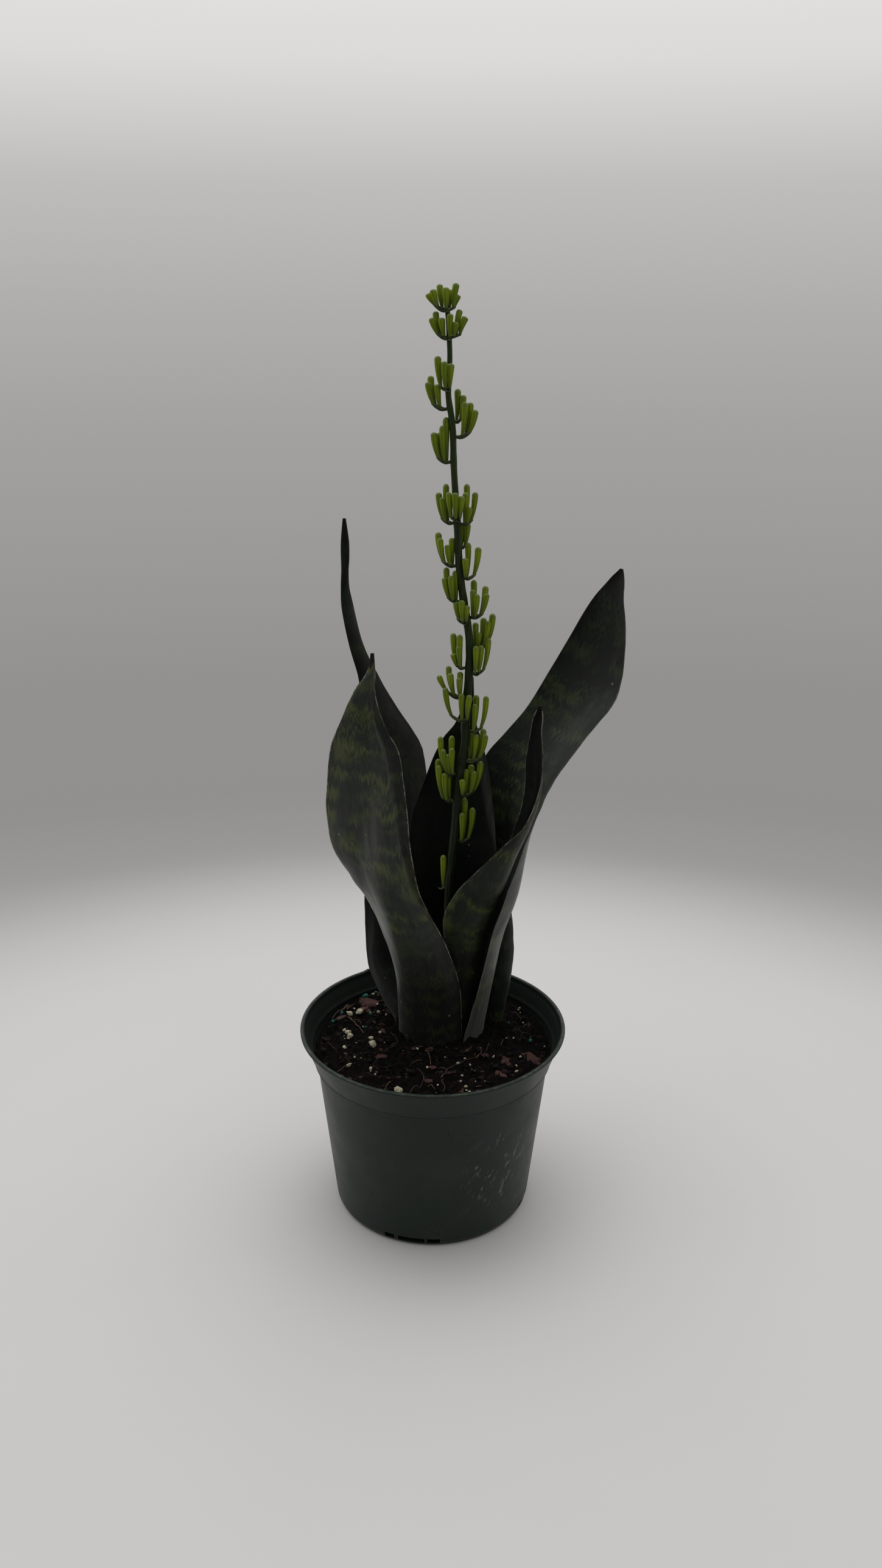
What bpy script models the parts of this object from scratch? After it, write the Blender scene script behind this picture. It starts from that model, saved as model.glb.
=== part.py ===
"""A snake plant in flower, growing in a round plastic nursery pot.

Six leaves and one flower stalk rise from the potting mix, and the stalk carries clusters of closed buds.
Metres, +Z up. The pot stands on Z = 0 and is centred on the Z axis.
"""

import math

import bmesh
import bpy
from mathutils import Matrix, Vector, noise

MM = 0.001
CLEARANCE = 0.3 * MM
LOOSE_CLEARANCE = 0.5 * MM

# Pot: a thin turned shell with a flat lip, a tapered collar and drainage slots at the foot.
POT_HEIGHT = 116.0 * MM
RIM_RADIUS = 79.0 * MM
LIP_WIDTH = 2.6 * MM
LIP_OVERHANG = 1.6 * MM
LIP_DEPTH = 2.0 * MM
LIP_ROUNDING = 0.5 * MM
COLLAR_HEIGHT = 20.5 * MM
COLLAR_TAPER = 6.8 * MM
COLLAR_STEP = 1.2 * MM
FOOT_RADIUS = 59.3 * MM
FOOT_ROUNDING = 4.0 * MM
POT_WALL = 1.3 * MM
POT_FLOOR = 1.8 * MM
POT_STEPS = 48
SLOT_GROUPS = 4
SLOT_GROUP_TURN = math.radians(-12)
SLOT_BOTTOM = 2.4 * MM
SLOT_HEIGHT = 3.4 * MM
SLOT_LENGTH = 18.0 * MM
SLOT_ANGLES = ((-16.0, -10.0), (-7.7, 7.8), (9.2, 16.6))

# Potting mix: fills the pot to just under the rim, higher behind the plant than in front of it.
MIX_DEPTH_BELOW_RIM = 15.0 * MM
MIX_MOUND = 3.5 * MM
MIX_BACK_RISE = 5.0 * MM
MIX_ROUGHNESS = 1.1 * MM
MIX_EDGE_DROP = 2.0 * MM
MIX_EDGE_ROUNDING = 1.2 * MM
MIX_STEPS = 24
MIX_RINGS = 7

# Leaves: thin curved blades that clasp each other at the foot.
ROOTED_DEPTH = 14.0 * MM
PLANT_STRETCH = 1.0
SOCKET_HEIGHT = 22.0 * MM
LEAF_EDGE_THICKNESS = 0.5 * MM
LEAF_MIDDLE_THICKNESS = 1.7 * MM
LEAF_STEPS_PER_ROW = 2
LEAF_STEPS_ACROSS = 8

# Flower stalk: tapers to the tip.
STALK_STEPS_PER_ROW = 2
STALK_FOOT_RADIUS = 2.6 * MM
STALK_TOP_RADIUS = 1.2 * MM
STALK_Y = 19.0 * MM

# Flower buds: blunt tubes that stand on a cushion beside the stalk, with a small bract under each cluster.
BUD_RADIUS = 1.55 * MM
BUD_FOOT_RADIUS = 1.0 * MM
BUD_SIDES = 5
BUD_SPREAD = 0.42
CUSHION_RADIUS = 1.3 * MM
SEAT_RADIUS = 1.9 * MM
BRACT_LENGTH = 5.0 * MM
BRACT_WIDTH = 2.6 * MM
BRACT_THICKNESS = 0.5 * MM

# Each leaf row, from the foot up, in millimetres and degrees: x, y and height of the middle of the chord
# between the two edges, half the chord, the chord's turn seen from above, its tilt, and how far the blade
# bows out from the chord. An eighth number folds a pleat into the right half of the blade.
LEAVES = {
    "leaf_front_left": (
        (-1.3, 13.1, 0.0, 20.5, -22, 0, 16.3),
        (-1.3, 13.1, 16.0, 20.5, -22, 0, 16.3),
        (-3.0, 11.5, 50.0, 20.0, -18, 0, 14.0),
        (-8.0, 8.0, 72.0, 19.0, -16, 0, 12.0),
        (-14.0, 4.0, 90.0, 18.5, -13, -3, 10.5, 0.6),
        (-21.0, -1.0, 108.0, 17.5, -9, -7, 9.0, 1.2),
        (-28.1, -5.5, 123.5, 20.5, -4, -13, 7.5, 1.8),
        (-34.3, -10.0, 144.5, 22.1, 0, -5, 6.5, 2.2),
        (-36.6, -15.0, 168.5, 22.6, 3, -5, 6.0, 2.2),
        (-36.9, -18.5, 188.5, 20.9, 4, -4, 5.5, 2.0),
        (-37.0, -22.5, 208.5, 18.3, 5, -5, 4.5, 1.8),
        (-37.6, -25.5, 224.5, 11.8, 7, -10, 3.0, 1.2),
        (-36.5, -27.0, 241.5, 5.7, 10, -11, 1.5),
        (-32.8, -27.0, 253.0, 2.1, 0, 0, 0.8),
        (-32.1, -27.0, 263.0, 0.8, 0, 0, 0.3),
    ),
    "leaf_back_left": (
        (-12.9, 34.3, 0.0, 15.3, 50, 0, -7.1),
        (-12.9, 34.3, 16.0, 15.3, 50, 0, -7.1),
        (-19.0, 36.0, 32.0, 17.0, 45, 0, -7.0),
        (-25.0, 38.5, 54.0, 19.0, 38, 0, -7.0),
        (-23.0, 42.5, 78.0, 20.0, 25, 0, -7.0),
        (-22.0, 46.0, 112.0, 20.5, 10, 0, -6.5),
        (-23.5, 49.0, 147.0, 20.5, -3, 0, -6.0),
        (-26.7, 50.0, 185.5, 20.3, -11, 2, -5.0),
        (-32.8, 50.0, 209.0, 12.9, -18, 7, -4.0),
        (-37.6, 48.5, 227.5, 7.4, -29, 12, -3.0),
        (-44.9, 49.5, 247.5, 5.2, -33, 12, -2.0),
        (-49.3, 51.0, 267.0, 4.7, -36, 9, -1.5),
        (-50.9, 51.0, 280.5, 2.6, -15, 3, -1.0),
        (-50.8, 51.5, 290.0, 2.0, 12, -3, -0.8),
        (-50.6, 52.0, 298.0, 2.3, 16, -3, -0.9),
        (-50.6, 52.0, 308.0, 2.2, 4, 0, -0.8),
        (-50.7, 52.0, 320.5, 0.8, 0, 0, -0.3),
    ),
    "leaf_back_centre": (
        (6.0, 28.3, 0.0, 11.7, 0, 0, -8.2),
        (6.0, 28.3, 16.0, 11.7, 0, 0, -8.2),
        (7.5, 30.0, 42.0, 13.5, 0, 0, -8.6),
        (10.5, 33.0, 72.0, 18.5, -2, 0, -9.0),
        (12.0, 34.0, 92.0, 23.5, -1, -1, -9.0),
        (11.8, 34.0, 117.0, 26.4, 0, -2, -8.0),
        (11.6, 37.0, 143.5, 25.1, 0, -2, -7.0),
        (12.6, 39.0, 156.5, 22.4, 0, -2, -6.0),
        (15.0, 41.0, 177.5, 17.0, 0, -3, -4.0),
        (16.9, 42.0, 193.5, 11.5, 0, -4, -2.5),
        (19.1, 43.0, 206.0, 5.2, 0, 0, -1.2),
        (22.0, 44.0, 231.0, 0.8, 0, 0, -0.3),
    ),
    "leaf_back_right": (
        (18.4, 18.0, 0.0, 17.4, -90, 0, -12.2),
        (18.4, 18.0, 16.0, 17.4, -90, 0, -12.2),
        (21.5, 18.5, 32.0, 17.6, -87, 0, -11.4),
        (25.6, 19.5, 51.0, 18.0, -85, 0, -10.4),
        (30.2, 21.0, 82.0, 19.0, -79, 0, -11.5),
        (34.6, 24.0, 109.0, 21.5, -71, -3, -15.5),
        (36.4, 28.0, 134.0, 25.0, -57, -6, -16.4),
        (40.0, 31.0, 155.0, 27.2, -50, -8, -14.0),
        (48.2, 35.5, 174.5, 27.2, -50, -9, -12.0),
        (60.6, 41.0, 190.5, 26.1, -47, -4, -10.0),
        (73.7, 47.0, 205.5, 24.3, -45, -7, -8.0),
        (87.5, 53.5, 225.0, 23.1, -37, -14, -6.0),
        (95.3, 60.0, 244.5, 18.7, -33, -12, -4.5),
        (101.5, 64.0, 265.0, 12.9, -36, -22, -3.0),
        (106.1, 67.5, 279.5, 6.3, -40, -31, -1.5),
        (109.1, 70.0, 289.5, 0.9, 0, -11, -0.3),
    ),
    "leaf_front_right": (
        (12.4, 16.7, 0.0, 10.7, -105, 0, -11.6),
        (12.4, 16.7, 16.0, 10.7, -105, 0, -11.6),
        (14.4, 19.5, 52.0, 12.4, -108, 0, -14.1),
        (14.8, 21.4, 72.0, 13.6, -117, 0, -17.0),
        (15.5, 23.0, 92.0, 15.4, -128, 0, -20.0),
        (22.0, 20.0, 109.0, 15.8, -127, 2, -18.5),
        (31.0, 10.5, 123.0, 13.8, -124, 14, -13.5),
        (40.6, 3.5, 141.0, 12.0, -103, 20, -8.0),
        (49.8, -1.5, 159.5, 9.8, -81, 9, -5.0),
        (54.5, -6.5, 179.5, 9.6, -67, 16, -4.0),
        (54.9, -11.0, 201.5, 8.5, -61, 19, -3.0),
        (55.4, -13.0, 218.0, 5.1, -57, 20, -2.0),
        (57.2, -14.0, 231.0, 0.7, 0, 0, -0.3),
    ),
    "leaf_outer_short": (
        (37.5, 26.1, 0.0, 5.6, -192, 0, -3.2),
        (37.5, 26.1, 16.0, 5.6, -192, 0, -3.2),
        (39.2, 27.0, 29.0, 6.2, -180, 0, -3.2),
        (41.9, 29.0, 45.5, 6.7, -171, 0, -3.0),
        (43.3, 30.7, 60.0, 6.1, -168, 0, -2.5),
        (44.4, 31.7, 75.0, 4.6, -164, 0, -1.6),
        (44.9, 33.0, 86.0, 3.0, -161, 0, -1.0),
        (45.8, 33.5, 96.0, 0.8, -160, 0, -0.3),
    ),
}
PLEAT_RIDGE = 0.36
PLEAT_VALLEY = 0.64
PLEAT_SPREAD = 0.16

# Flower stalk rows: sideways place and height above the foot, in millimetres.
STALK_ROWS = (
    (5.0, 0.0), (5.5, 25.0), (7.5, 52.0), (9.5, 112.0), (10.3, 121.0), (13.0, 152.0), (14.2, 176.0),
    (17.8, 199.0), (17.8, 213.0), (19.6, 243.0), (19.4, 260.0), (15.8, 283.0), (13.5, 301.0),
    (11.9, 327.0), (10.1, 352.0), (9.2, 373.0), (6.8, 390.0), (7.5, 409.0), (6.1, 432.0),
)

# Flower clusters from the top down: height above the stalk's foot, the side of the stalk it grows on, in
# degrees, and the tip of each bud from the stalk's middle at that height, all lengths in millimetres.
CLUSTERS = (
    (431.5, -90, ((-10.0, 1.0, 7.0), (-7.5, -3.0, 9.0), (-4.0, 2.5, 11.5), (-1.0, -3.0, 10.0),
                  (1.5, 3.0, 9.0), (4.5, -1.0, 12.0), (5.5, 2.0, 6.5))),
    (418.0, -90, ((-7.0, 1.5, 12.0), (-9.0, -2.0, 9.0), (-4.0, -4.0, 9.0), (0.5, -5.0, 11.0),
                  (3.5, -4.0, 7.0), (5.5, 0.5, 13.0), (8.5, -2.0, 9.5))),
    (393.0, -100, ((-5.5, -3.0, 15.5), (-2.0, -6.0, 13.0), (1.5, -5.0, 12.0))),
    (383.0, 165, ((-10.0, 4.0, 15.5), (-11.5, 1.0, 12.5), (-6.5, 1.0, 11.5))),
    (376.5, 45, ((3.0, 5.0, 15.5), (6.0, 3.0, 12.5))),
    (369.0, -15, ((6.0, -3.0, 17.0), (9.0, 0.5, 16.5), (11.5, -2.5, 13.0))),
    (356.0, 180, ((-10.5, -2.0, 14.5), (-8.0, 2.0, 14.0), (-6.0, -2.5, 18.0), (-4.0, 1.0, 22.0))),
    (324.0, 170, ((-10.0, 2.0, 15.0), (-6.0, 3.0, 19.5), (-8.0, -1.0, 13.0))),
    (326.5, -90, ((-4.5, -4.0, 13.5), (-1.0, -6.0, 13.5), (2.5, -4.5, 11.5))),
    (323.5, 0, ((5.0, 3.0, 20.0), (4.5, -1.0, 16.0), (9.5, 0.5, 16.0), (6.5, -2.5, 8.5))),
    (310.5, 60, ((2.0, 6.0, 12.0), (5.0, 5.0, 12.0))),
    (301.0, 180, ((-11.5, 1.0, 17.0), (-10.5, -2.5, 14.5), (-6.5, -3.0, 11.0), (-4.0, 2.0, 14.0))),
    (294.5, -20, ((4.0, 1.5, 18.0), (9.5, -1.0, 16.0), (2.5, -4.0, 10.5))),
    (281.5, 185, ((-9.5, 2.0, 17.5), (-10.5, -1.5, 12.5), (-7.0, -4.0, 14.0), (-4.5, 0.5, 16.0))),
    (270.5, -110, ((-6.0, -3.0, 10.5), (-3.0, -6.0, 12.0), (0.0, -5.5, 9.0))),
    (272.5, 10, ((4.0, 3.0, 19.5), (3.5, -2.0, 15.0), (5.5, -4.0, 13.0), (10.5, 1.0, 16.5),
                 (11.0, -2.0, 13.0))),
    (254.0, 30, ((3.0, 4.0, 14.0), (5.0, 1.5, 9.0), (7.5, 5.0, 16.5), (10.0, 2.0, 15.5), (12.5, 4.0, 19.0))),
    (241.0, -25, ((3.5, -3.5, 15.5), (6.5, -2.0, 15.5), (10.5, 1.0, 19.0))),
    (244.0, 180, ((-9.0, 1.5, 18.5), (-5.5, -2.0, 18.5), (-6.0, -4.5, 12.5), (-9.0, -1.5, 7.5))),
    (227.0, 190, ((-16.0, 0.5, 11.5), (-10.5, 2.5, 16.5), (-9.5, -2.0, 13.5), (-4.5, -4.5, 11.5),
                  (-4.0, 1.5, 13.5))),
    (214.5, -110, ((-11.5, -3.0, 18.0), (-2.5, -6.0, 15.5), (2.0, -6.0, 14.5))),
    (207.0, -5, ((6.0, 1.5, 20.0), (11.5, -0.5, 20.0), (5.0, -3.5, 16.0))),
    (189.0, 5, ((5.0, 3.5, 16.0), (8.0, -1.0, 15.5), (12.0, 2.0, 18.0), (13.0, -2.5, 16.0))),
    (181.0, 180, ((-11.0, 1.0, 21.5), (-9.5, -2.5, 15.0), (-4.5, 2.5, 21.5), (-4.5, -3.5, 16.0),
                  (-7.0, -2.5, 12.0))),
    (169.0, -20, ((2.5, -4.5, 9.5), (5.0, 0.5, 14.0), (8.0, 3.0, 16.0), (9.5, -2.5, 14.0),
                  (13.0, 0.5, 19.0))),
    (165.0, 185, ((-11.0, 2.5, 23.5), (-10.5, -1.5, 21.0), (-10.5, 0.5, 16.0), (-7.5, -3.5, 17.0),
                  (-5.0, 1.5, 14.5))),
    (140.0, 0, ((6.0, 2.0, 25.0), (10.5, -1.0, 20.0), (4.5, -3.0, 17.5))),
    (110.0, 180, ((-3.5, 0.5, 19.5),)),
)

# Loose pieces lying on the mix: name, how far out it lies as a share of the way to the pot's wall, its
# bearing seen from above, its half sizes, its turn and its tilt, in millimetres and degrees.
LOOSE_CHIPS = (
    ("bark_chip_left", 0.852, 132.3, (5.4, 3.0, 1.3), 35, 8),
    ("bark_chip_right", 0.664, -24.9, (6.2, 2.8, 1.4), -25, -6),
    ("bark_chip_rim", 0.876, -12.9, (4.6, 2.4, 1.2), 60, 5),
)
CHIP_SIDES = 7
LOOSE_GRAINS = (
    ("perlite_grain_back", 0.792, 144.3, (2.6, 2.1, 1.7), 20, 0),
    ("perlite_grain_left", 0.747, 167.0, (2.4, 1.9, 1.6), 70, 10),
    ("perlite_grain_middle", 0.507, 186.3, (2.8, 2.2, 1.8), -30, 5),
    ("perlite_grain_front", 0.754, 248.2, (2.3, 2.0, 1.5), 45, 0),
)

POT_COLOUR = (0.016, 0.024, 0.019, 1.0)
MIX_COLOUR = (0.014, 0.010, 0.008, 1.0)
LEAF_COLOUR = (0.016, 0.026, 0.014, 1.0)
STALK_COLOUR = (0.040, 0.060, 0.025, 1.0)
BUD_COLOUR = (0.200, 0.210, 0.070, 1.0)
BARK_COLOUR = (0.090, 0.035, 0.018, 1.0)
PERLITE_COLOUR = (0.420, 0.400, 0.330, 1.0)


def clear_scene():
    for old in list(bpy.data.objects):
        bpy.data.objects.remove(old, do_unlink=True)


def new_collection(name):
    collection = bpy.data.collections.new(name)
    bpy.context.scene.collection.children.link(collection)
    return collection


def new_material(name, colour, roughness):
    material = bpy.data.materials.new(name)
    material.use_nodes = True
    shader = material.node_tree.nodes["Principled BSDF"]
    shader.inputs["Base Color"].default_value = colour
    shader.inputs["Roughness"].default_value = roughness
    shader.inputs["Metallic"].default_value = 0.0
    return material


def new_object(name, mesh, collection, material=None):
    obj = bpy.data.objects.new(name, mesh)
    collection.objects.link(obj)
    if material is not None:
        mesh.materials.clear()
        mesh.materials.append(material)
    return obj


def make_cutter(obj):
    obj.hide_render = True
    obj.display_type = "WIRE"
    return obj


def applied_mesh(obj):
    """The mesh of an object with its modifiers applied, or of a curve, in the object's own space."""
    graph = bpy.context.evaluated_depsgraph_get()
    return bpy.data.meshes.new_from_object(obj.evaluated_get(graph))


def cut(obj, cutter, join_own_parts=False, solver="EXACT"):
    modifier = obj.modifiers.new("cut by " + cutter.name, "BOOLEAN")
    modifier.operation = "DIFFERENCE"
    modifier.solver = solver
    modifier.object = cutter
    modifier.use_self = join_own_parts


def smooth(mesh, angle=40):
    mesh.shade_smooth()
    mesh.set_sharp_from_angle(angle=math.radians(angle))


def through_rows(rows, steps):
    """Points on a smooth curve through the rows, each row being a tuple of numbers of the same length."""
    out = []
    last = len(rows) - 1
    for i in range(last):
        before, here = rows[max(i - 1, 0)], rows[i]
        there, after = rows[i + 1], rows[min(i + 2, last)]
        for step in range(steps):
            t = step / steps
            weights = (
                (-t + 2 * t * t - t**3) / 2,
                (2 - 5 * t * t + 3 * t**3) / 2,
                (t + 4 * t * t - 3 * t**3) / 2,
                (-t * t + t**3) / 2,
            )
            values = zip(before, here, there, after)
            out.append(tuple(sum(w * v for w, v in zip(weights, group)) for group in values))
    out.append(tuple(rows[last]))
    return out


def turned_object(name, profile, steps, collection, material=None):
    """A solid of revolution about Z from (radius, height) points, with the outer side running down."""
    mesh = bpy.data.meshes.new(name)
    points = [(radius, 0.0, height) for radius, height in profile]
    mesh.from_pydata(points, [(i, i + 1) for i in range(len(points) - 1)], [])
    obj = new_object(name, mesh, collection, material)
    screw = obj.modifiers.new("turn", "SCREW")
    screw.axis = "Z"
    screw.angle = math.tau
    screw.steps = steps
    screw.render_steps = steps
    screw.use_merge_vertices = True
    screw.merge_threshold = 0.00005
    screw.use_smooth_shade = True
    return obj


def collar_top_radius():
    return RIM_RADIUS - LIP_OVERHANG


def collar_foot_radius():
    return collar_top_radius() - COLLAR_TAPER


def pot_wall_slope():
    top = collar_foot_radius() - COLLAR_STEP
    height = POT_HEIGHT - COLLAR_HEIGHT - FOOT_ROUNDING
    return (top - FOOT_RADIUS) / height


def pot_outer_radius(height):
    """Outer radius of the pot's plain wall, under the collar."""
    return FOOT_RADIUS + pot_wall_slope() * max(height - FOOT_ROUNDING, 0.0)


def pot_collar_radius(height):
    share = (height - (POT_HEIGHT - COLLAR_HEIGHT)) / (COLLAR_HEIGHT - LIP_DEPTH)
    return collar_foot_radius() + COLLAR_TAPER * share


def pot_inside():
    """The pot's inner side, from the floor up to the lip, as (radius, height) points."""
    collar_foot = POT_HEIGHT - COLLAR_HEIGHT
    under_step, over_step = collar_foot - POT_WALL, collar_foot + POT_WALL
    under_lip = POT_HEIGHT - LIP_DEPTH
    return [
        (FOOT_RADIUS - POT_WALL - FOOT_ROUNDING, POT_FLOOR),
        (FOOT_RADIUS - POT_WALL, POT_FLOOR + FOOT_ROUNDING),
        (pot_outer_radius(under_step) - POT_WALL, under_step),
        (pot_collar_radius(over_step) - POT_WALL, over_step),
        (collar_top_radius() - POT_WALL, under_lip - POT_WALL),
    ]


def pot_inner_radius(height):
    """Inner radius of the pot at a height, for what it holds."""
    points = pot_inside()
    for (radius, low), (upper_radius, high) in zip(points, points[1:]):
        if height <= high:
            return radius + (upper_radius - radius) * (height - low) / (high - low)
    return points[-1][0]


def build_pot(collection, cutters):
    collar_foot = POT_HEIGHT - COLLAR_HEIGHT
    under_lip = POT_HEIGHT - LIP_DEPTH
    foot = FOOT_ROUNDING
    lip_inside = RIM_RADIUS - LIP_WIDTH
    profile = [(0.0, POT_FLOOR)] + pot_inside() + [
        (lip_inside, under_lip),
        (lip_inside, POT_HEIGHT - LIP_ROUNDING),
        (lip_inside + LIP_ROUNDING, POT_HEIGHT),
        (RIM_RADIUS - LIP_ROUNDING, POT_HEIGHT),
        (RIM_RADIUS, POT_HEIGHT - LIP_ROUNDING),
        (RIM_RADIUS, under_lip + LIP_ROUNDING),
        (collar_top_radius(), under_lip),
        (collar_foot_radius(), collar_foot),
        (collar_foot_radius() - COLLAR_STEP, collar_foot),
        (FOOT_RADIUS, foot),
        (FOOT_RADIUS - 0.3 * foot, 0.3 * foot),
        (FOOT_RADIUS - foot, 0.0),
        (0.0, 0.0),
    ]
    material = new_material("pot", POT_COLOUR, 0.45)
    pot = turned_object("pot", profile, POT_STEPS, collection, material)
    slots = bmesh.new()
    for group in range(SLOT_GROUPS):
        for start, end in SLOT_ANGLES:
            middle = math.radians((start + end) / 2) + SLOT_GROUP_TURN + group * math.tau / SLOT_GROUPS
            width = 2 * FOOT_RADIUS * math.sin(math.radians(end - start) / 2)
            size = Matrix.Diagonal((width, SLOT_LENGTH, SLOT_HEIGHT, 1.0))
            place = Matrix.Translation((0.0, -FOOT_RADIUS, SLOT_BOTTOM + SLOT_HEIGHT / 2))
            bmesh.ops.create_cube(slots, size=1.0, matrix=Matrix.Rotation(middle, 4, "Z") @ place @ size)
    mesh = bpy.data.meshes.new("drainage_slots")
    slots.to_mesh(mesh)
    slots.free()
    cut(pot, make_cutter(new_object("drainage_slots", mesh, cutters)))


def mix_height(x, y):
    """Height of the potting mix above the pot's foot."""
    level = POT_HEIGHT - MIX_DEPTH_BELOW_RIM
    spread = pot_inner_radius(level)
    mound = MIX_MOUND * max(0.0, 1.0 - (x * x + y * y) / spread**2)
    back = MIX_BACK_RISE * max(0.0, y / spread) ** 2
    rough = MIX_ROUGHNESS * noise.noise(Vector((x, y, 0.0)) / (9.0 * MM))
    return level + mound + back + rough


def build_mix(collection, cutters):
    level = POT_HEIGHT - MIX_DEPTH_BELOW_RIM
    bottom = POT_FLOOR + CLEARANCE
    edge = level - MIX_EDGE_DROP
    gap = 1.2 * CLEARANCE
    shoulder = pot_inner_radius(level) - MIX_EDGE_ROUNDING
    side = [(radius - gap, height) for radius, height in pot_inside()[1:] if height < edge]
    profile = [(shoulder * ring / MIX_RINGS, level) for ring in range(MIX_RINGS + 1)]
    profile += [(pot_inner_radius(edge) - gap, edge)]
    profile += side[::-1]
    profile += [(pot_inside()[0][0] - CLEARANCE, bottom), (0.0, bottom)]
    guide = turned_object("mix_guide", profile, MIX_STEPS, cutters)
    bpy.context.view_layer.update()
    mesh = applied_mesh(guide)
    bpy.data.objects.remove(guide)
    for vertex in mesh.vertices:
        if vertex.co.z > (level + edge) / 2:
            vertex.co.z = mix_height(vertex.co.x, vertex.co.y)
    smooth(mesh, 60)
    return new_object("potting_mix", mesh, collection, new_material("potting_mix", MIX_COLOUR, 0.95))


def leaf_stations(rows, leaf_foot):
    """Every station of a leaf: its middle, chord direction, bow direction, half chord, bow and pleat."""
    full = [tuple(row) + (0.0,) * (8 - len(row)) for row in rows]
    stations = through_rows(full, LEAF_STEPS_PER_ROW)
    middles = []
    for x, y, height in (station[:3] for station in stations):
        middles.append(Vector((x * MM, y * MM, leaf_foot + height * MM * PLANT_STRETCH)))
    out = []
    for i, station in enumerate(stations):
        along = middles[min(i + 1, len(middles) - 1)] - middles[max(i - 1, 0)]
        if i < LEAF_STEPS_PER_ROW:
            along = Vector((0.0, 0.0, 1.0))
        turn, tilt = math.radians(station[4]), math.radians(station[5])
        chord = Vector((math.cos(turn) * math.cos(tilt), math.sin(turn) * math.cos(tilt), math.sin(tilt)))
        bow = chord.cross(along).normalized()
        half_width = max(station[3], 0.4) * MM
        out.append((middles[i], chord, bow, half_width, station[6] * MM, station[7] * MM))
    return out


def leaf_section(station, steps, grow):
    """Outer and inner points across one station: an arc between the edges, thickest in the middle."""
    middle, chord, bow, half_width, depth, pleat = station
    side = 1.0 if depth >= 0 else -1.0
    depth = max(abs(depth), 0.15 * MM)
    radius = (half_width**2 + depth**2) / (2 * depth)
    half_angle = 2 * math.atan2(depth, half_width)
    thick_middle = min(LEAF_MIDDLE_THICKNESS, LEAF_EDGE_THICKNESS + 0.12 * half_width)
    outer, inner = [], []
    for i in range(steps + 1):
        share = 2 * i / steps - 1
        angle = share * (half_angle + grow / radius)
        normal = chord * math.sin(angle) + side * bow * math.cos(angle)
        centre = middle - side * bow * (radius - depth)
        fold = math.exp(-(((share - PLEAT_RIDGE) / PLEAT_SPREAD) ** 2))
        fold -= math.exp(-(((share - PLEAT_VALLEY) / PLEAT_SPREAD) ** 2))
        thickness = LEAF_EDGE_THICKNESS + (thick_middle - LEAF_EDGE_THICKNESS) * (1 - share**2)
        surface = centre + normal * (radius + pleat * fold)
        outer.append(surface + normal * (thickness / 2 + grow))
        inner.append(surface - normal * (thickness / 2 + grow))
    if side < 0:
        return inner, outer
    return outer, inner


def leaf_mesh(name, rows, foot, steps, grow=0.0, top=None):
    """A closed blade lofted through its stations. grow swells it, and top stops it at a height."""
    stations = leaf_stations(rows, foot)
    if top is not None:
        stations = [s for s in stations if s[0].z < top]
    if grow:
        first = stations[0]
        stations[0] = (first[0] - Vector((0.0, 0.0, grow)),) + first[1:]
    bm = bmesh.new()
    rings = []
    for station in stations:
        outer, inner = leaf_section(station, steps, grow)
        rings.append([bm.verts.new(point) for point in outer + inner[::-1]])
    count = len(rings[0])
    for lower, upper in zip(rings, rings[1:]):
        for i in range(count):
            j = (i + 1) % count
            bm.faces.new((lower[i], lower[j], upper[j], upper[i]))
    for ring in (rings[0], rings[-1]):
        for i in range(count // 2 - 1):
            bm.faces.new((ring[i], ring[i + 1], ring[count - 2 - i], ring[count - 1 - i]))
    bmesh.ops.recalc_face_normals(bm, faces=bm.faces)
    mesh = bpy.data.meshes.new(name)
    bm.to_mesh(mesh)
    bm.free()
    smooth(mesh, 50)
    return mesh


def leaf_steps(name):
    return LEAF_STEPS_ACROSS + 4 if name == "leaf_front_left" else LEAF_STEPS_ACROSS


def build_leaves(collection, cutters, mix):
    foot = POT_HEIGHT - MIX_DEPTH_BELOW_RIM - ROOTED_DEPTH
    for name, rows in LEAVES.items():
        steps = leaf_steps(name)
        material = new_material(name, LEAF_COLOUR, 0.42)
        new_object(name, leaf_mesh(name, rows, foot, steps), collection, material)
        top = foot + ROOTED_DEPTH + SOCKET_HEIGHT
        socket = leaf_mesh(name + "_socket", rows, foot, steps, CLEARANCE, top)
        cut(mix, make_cutter(new_object(name + "_socket", socket, cutters)), solver="MANIFOLD")


def stalk_points():
    """Points up the middle of the flower stalk, each with the stalk's radius there."""
    foot = POT_HEIGHT - MIX_DEPTH_BELOW_RIM - ROOTED_DEPTH
    top = STALK_ROWS[-1][1]
    points = []
    for x, height in through_rows(STALK_ROWS, STALK_STEPS_PER_ROW):
        share = min(max(height / top, 0.0), 1.0)
        radius = STALK_FOOT_RADIUS + (STALK_TOP_RADIUS - STALK_FOOT_RADIUS) * share**2.3
        points.append((Vector((x * MM, STALK_Y, foot + height * MM * PLANT_STRETCH)), radius))
    return points


def stalk_at(height):
    """Middle and radius of the flower stalk at a height above its foot, in millimetres."""
    foot = POT_HEIGHT - MIX_DEPTH_BELOW_RIM - ROOTED_DEPTH
    points = stalk_points()
    z = foot + height * MM * PLANT_STRETCH
    for (low, low_radius), (high, high_radius) in zip(points, points[1:]):
        if z <= high.z:
            share = (z - low.z) / (high.z - low.z)
            return low.lerp(high, share), low_radius + (high_radius - low_radius) * share
    return points[-1]


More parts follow.
